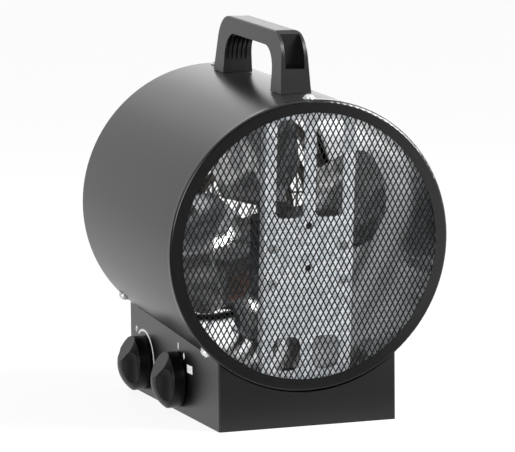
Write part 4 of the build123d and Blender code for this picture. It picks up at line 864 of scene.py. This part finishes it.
ink, tree, place = start_material("screen_printed_white_ink")
wear = add(tree, "ShaderNodeTexNoise", inputs={"Vector": place, "Scale": per_metre(INK_WEAR)})
surface = add(tree, "ShaderNodeBsdfPrincipled", inputs={
    "Base Color": add(tree, "ShaderNodeMix", {"data_type": "RGBA"}, {
        0: wear, 6: linear("#dededd"), 7: linear("#f8f8f7"),
    }),
    "Roughness": add(tree, "ShaderNodeMapRange", inputs={"Value": wear, "To Min": 0.45, "To Max": 0.6}),
    "IOR": 1.5,
})
add(tree, "ShaderNodeOutputMaterial", inputs={"Surface": surface})
print("ink, its wear", INK_WEAR, "mm across")

# %% [markdown]
# Each mark is a flat outline on the base's wall, a twentieth of a millimetre thick. It is placed from
# the middle of its knob, by a distance and an angle from straight up, as on a clock's face.

# %% Outlines of the marks
INK_FILM = 0.05 * MM
BOW_STEP = 6


def around(distance_mm, angle):
    """A place this far from a knob's middle, the angle from straight up towards the mesh end."""
    return distance_mm * MM * sin(radians(angle)), distance_mm * MM * cos(radians(angle))


def bow(distance_mm, width_mm, first, last, centre=(0.0, 0.0)):
    """A curved band round a centre, from one angle to another, in steps of BOW_STEP degrees at most."""
    count = ceil(abs(last - first) / BOW_STEP)
    angles = [first + (last - first) * i / count for i in range(count + 1)]
    edges = [[around(distance_mm + side * width_mm / 2, angle) for angle in angles] for side in (-1, 1)]
    return [(x + centre[0], z + centre[1]) for x, z in edges[0] + edges[1][::-1]]


def straight_sided(corners_mm, centre=(0.0, 0.0)):
    """A mark with straight sides, its corners given from its centre."""
    return [(x * MM + centre[0], z * MM + centre[1]) for x, z in corners_mm]


SIGNS = {
    "thermostat_turn": [
        bow(distance_mm=24.9, width_mm=1.9, first=-33, last=108),
        bow(distance_mm=1.7, width_mm=1.3, first=100, last=-190, centre=around(29.8, -37)),
    ],
    "selector_turn": [
        straight_sided([(-1.0, 22.6), (1.0, 22.6), (1.0, 27.2), (-1.0, 27.2)]),
        straight_sided([(0, 2.9), (2.0, 0), (0, -2.9), (-2.0, 0)], around(23.3, 34.5)),
        straight_sided([(-6.1, -3.0), (6.1, -3.0), (6.1, 3.0), (-6.1, 3.0)], around(28.6, 67)),
    ],
}
print("signs", {name: len(outlines) for name, outlines in SIGNS.items()})

# %% [markdown]
# The marks stand on the wall that carries the knobs. Each outline is drawn twice, on the wall and the ink's
# thickness away from it, and the two are joined by a rim, so that each mark is a closed body of its own.

# %% Printed marks, made and placed
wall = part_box("base_box")[0][0]
marks = bmesh.new()
for joint in frame["joints"]:
    knob = Vector(joint["pos_m"])
    for outline in SIGNS.get(joint["name"], []):
        under, top = [
            [marks.verts.new((x, knob.y - across, knob.z + above)) for across, above in outline]
            for x in (wall, wall - INK_FILM)
        ]
        marks.faces.new(under)
        marks.faces.new(top[::-1])
        for i in range(len(outline)):
            j = (i + 1) % len(outline)
            marks.faces.new((under[i], under[j], top[j], top[i]))
bmesh.ops.recalc_face_normals(marks, faces=marks.faces)
marks_mesh = bpy.data.meshes.new("printed_marks")
marks.to_mesh(marks_mesh)
marks.free()
marks_mesh.materials.append(ink)
new_piece("printed_marks", marks_mesh)

# %% [markdown]
# The studio is a white room with two dark sides: where the camera stands the room is unlit, and a dark
# screen stands on the right behind the heater. A black satin skin mirrors that room, so where it is bright
# and dark matters more than any lamp. The room could be built from walls and panels. A number for each
# direction does the same with nothing to place: it comes from the bearing round the heater, which is 0
# straight before the mesh and grows to the right, and from the direction's parts along X, Y and Z.

# %% The room's glow
CLEAR_LEFT, DARK_LEFT = radians(-118), radians(-85)
DARK_RIGHT, CLEAR_RIGHT = radians(20), radians(28)
SCREEN_START, SCREEN_FULL = radians(100), radians(120)
OVERHEAD_START, OVERHEAD_FULL = 0.45, 0.75
BACK_START, BACK_FULL = 0.84, 0.9
BACK_LEFT, BACK_RIGHT = -0.18, 0.28
DARK_GLOW = 0.03
WHITE_GLOW = 0.85
BACK_EXTRA = 2.6
SOFT = {"interpolation_type": "SMOOTHSTEP"}


def room_glow(tree, way):
    """How bright the room is in a direction: dark by the camera and the screen, brightest behind."""
    unit = add(tree, "ShaderNodeVectorMath", {"operation": "NORMALIZE"}, {0: way})
    axes = add(tree, "ShaderNodeSeparateXYZ", inputs={0: unit}).outputs
    ahead = add(tree, "ShaderNodeMath", {"operation": "MULTIPLY"}, {0: axes["Y"], 1: -1.0})
    bearing = add(tree, "ShaderNodeMath", {"operation": "ARCTAN2"}, {0: axes["X"], 1: ahead})
    left = add(tree, "ShaderNodeMapRange", SOFT, {
        "Value": bearing, "From Min": CLEAR_LEFT, "From Max": DARK_LEFT,
        "To Min": WHITE_GLOW, "To Max": DARK_GLOW,
    })
    right = add(tree, "ShaderNodeMapRange", SOFT, {
        "Value": bearing, "From Min": DARK_RIGHT, "From Max": CLEAR_RIGHT,
        "To Min": DARK_GLOW, "To Max": WHITE_GLOW,
    })
    screen = add(tree, "ShaderNodeMapRange", SOFT, {
        "Value": bearing, "From Min": SCREEN_START, "From Max": SCREEN_FULL, "To Min": 1.0, "To Max": 0.0,
    })
    open_right = add(tree, "ShaderNodeMath", {"operation": "MULTIPLY"}, {0: right, 1: screen})
    above = add(tree, "ShaderNodeMapRange", SOFT, {
        "Value": axes["Z"], "From Min": OVERHEAD_START, "From Max": OVERHEAD_FULL,
        "To Min": DARK_GLOW, "To Max": WHITE_GLOW,
    })
    sides = add(tree, "ShaderNodeMath", {"operation": "MAXIMUM"}, {0: left, 1: open_right})
    lit = add(tree, "ShaderNodeMath", {"operation": "MAXIMUM"}, {0: sides, 1: above})
    behind = add(tree, "ShaderNodeMapRange", SOFT, {
        "Value": axes["Y"], "From Min": BACK_START, "From Max": BACK_FULL,
        "To Min": 0.0, "To Max": BACK_EXTRA,
    })
    rightwards = add(tree, "ShaderNodeMapRange", SOFT, {
        "Value": axes["X"], "From Min": BACK_LEFT, "From Max": BACK_RIGHT,
    })
    return add(tree, "ShaderNodeMath", {"operation": "MULTIPLY_ADD"}, {0: behind, 1: rightwards, 2: lit})


print("the room glows from", DARK_GLOW, "to", WHITE_GLOW + BACK_EXTRA)

# %% [markdown]
# The heater stands on a plain white floor. The floor takes a soft shadow, and for the camera and for
# reflections it is mostly plain, so that the ground reads as the photograph's. More light would whiten it
# too, but the heater with it, so Light Path tells the floor which kind of ray is asking. In a reflection
# it fades into the room, and in front of the mesh end a painted shade, standing for the heater's own,
# dims it.

# %% Floor
FLOOR_REACH = 30.0
SHADED_FLOOR = 0.1
SHADE_FULL, SHADE_END = -0.20, -0.11
FADE_START, FADE_END = 0.2, 0.5
PLAIN_SHARE = 0.9

white_floor, tree, place = start_material("studio_white_floor")
paths = add(tree, "ShaderNodeLightPath").outputs
along = add(tree, "ShaderNodeSeparateXYZ", inputs={0: place}).outputs["Y"]
away = add(tree, "ShaderNodeVectorMath", {"operation": "LENGTH"}, {0: place}).outputs["Value"]
# Painted shade: reflections see the floor's glow dimmed in front of the mesh end, standing for the heater's own
# shade.
painted_shade_near_front = add(tree, "ShaderNodeMapRange", SOFT, {
    "Value": along, "From Min": SHADE_FULL, "From Max": SHADE_END,
    "To Min": SHADED_FLOOR, "To Max": WHITE_GLOW,
})
farther = add(tree, "ShaderNodeMapRange", SOFT, {
    "Value": away, "From Min": FADE_START, "From Max": FADE_END,
})
reflected = add(tree, "ShaderNodeMix", {"data_type": "FLOAT"}, {
    0: farther, 2: painted_shade_near_front, 3: room_glow(tree, place),
})
strength = add(tree, "ShaderNodeMix", {"data_type": "FLOAT"}, {
    0: paths["Is Camera Ray"], 2: reflected, 3: 1.0,
})
mirrored = add(tree, "ShaderNodeMath", {"operation": "MAXIMUM"}, {
    0: paths["Is Glossy Ray"], 1: paths["Is Transmission Ray"],
})
plain = add(tree, "ShaderNodeMath", {"operation": "MAXIMUM"}, {0: paths["Is Camera Ray"], 1: mirrored})
share = add(tree, "ShaderNodeMath", {"operation": "MULTIPLY"}, {0: plain, 1: PLAIN_SHARE})
surface = add(tree, "ShaderNodeMixShader", inputs={
    0: share,
    1: add(tree, "ShaderNodeBsdfDiffuse", inputs={"Color": linear("#f2f2f2")}),
    2: add(tree, "ShaderNodeEmission", inputs={"Color": linear("#ffffff"), "Strength": strength}),
})
add(tree, "ShaderNodeOutputMaterial", inputs={"Surface": surface})

floor_mesh = bpy.data.meshes.new("floor")
floor_mesh.from_pydata(
    [(x * FLOOR_REACH, y * FLOOR_REACH, 0.0) for x, y in ((-1, -1), (1, -1), (1, 1), (-1, 1))],
    [], [(0, 1, 2, 3)],
)
floor_mesh.materials.append(white_floor)
floor = bpy.data.objects.new("floor", floor_mesh)
bpy.context.scene.collection.objects.link(floor)
print("floor", 2 * FLOOR_REACH, "m across")

# %% [markdown]
# The room itself lights the heater, evenly and softly. A broad lamp behind and above gives it a soft
# shadow. Two more reach in through the mesh, one from the upper right and a weaker one from the lower left,
# so that the plate is bright and the fan's blades show patches of light. All three are broad squares,
# because a small lamp would print each strand's hard shadow on the plate.

# %% Lamps and world
HEART = (0.0, 0.0, 0.14)


def soft_lamp(name, place, size, watts):
    """A square lamp that faces the middle of the heater."""
    lamp = bpy.data.lights.new(name, "AREA")
    lamp.shape = "SQUARE"
    lamp.size = size
    lamp.energy = watts
    thing = bpy.data.objects.new(name, lamp)
    thing.location = place
    thing.rotation_euler = (Vector(HEART) - Vector(place)).to_track_quat("-Z", "Y").to_euler()
    bpy.context.scene.collection.objects.link(thing)
    print(name, "lamp", watts, "W")


soft_lamp("key", (-0.5, 1.5, 2.0), 1.0, 4)
soft_lamp("front", (1.2, -0.85, 1.25), 1.0, 92)
soft_lamp("left", (-1.1, -1.2, 0.45), 0.8, 14)

world = bpy.data.worlds.new("studio")
world.use_nodes = True
bpy.context.scene.world = world
sky = world.node_tree
sky.nodes.clear()
way = add(sky, "ShaderNodeTexCoord").outputs["Generated"]
seen = add(sky, "ShaderNodeLightPath").outputs["Is Camera Ray"]
strength = add(sky, "ShaderNodeMix", {"data_type": "FLOAT"}, {0: seen, 2: room_glow(sky, way), 3: 1.0})
room = add(sky, "ShaderNodeBackground", inputs={"Color": linear("#ffffff"), "Strength": strength})
add(sky, "ShaderNodeOutputWorld", inputs={"Surface": room})

# %% [markdown]
# The finished scene keeps Blender's plain view transform, so a colour on screen is the colour that was lit.

# %% Finish
bpy.context.scene.view_settings.view_transform = "Standard"
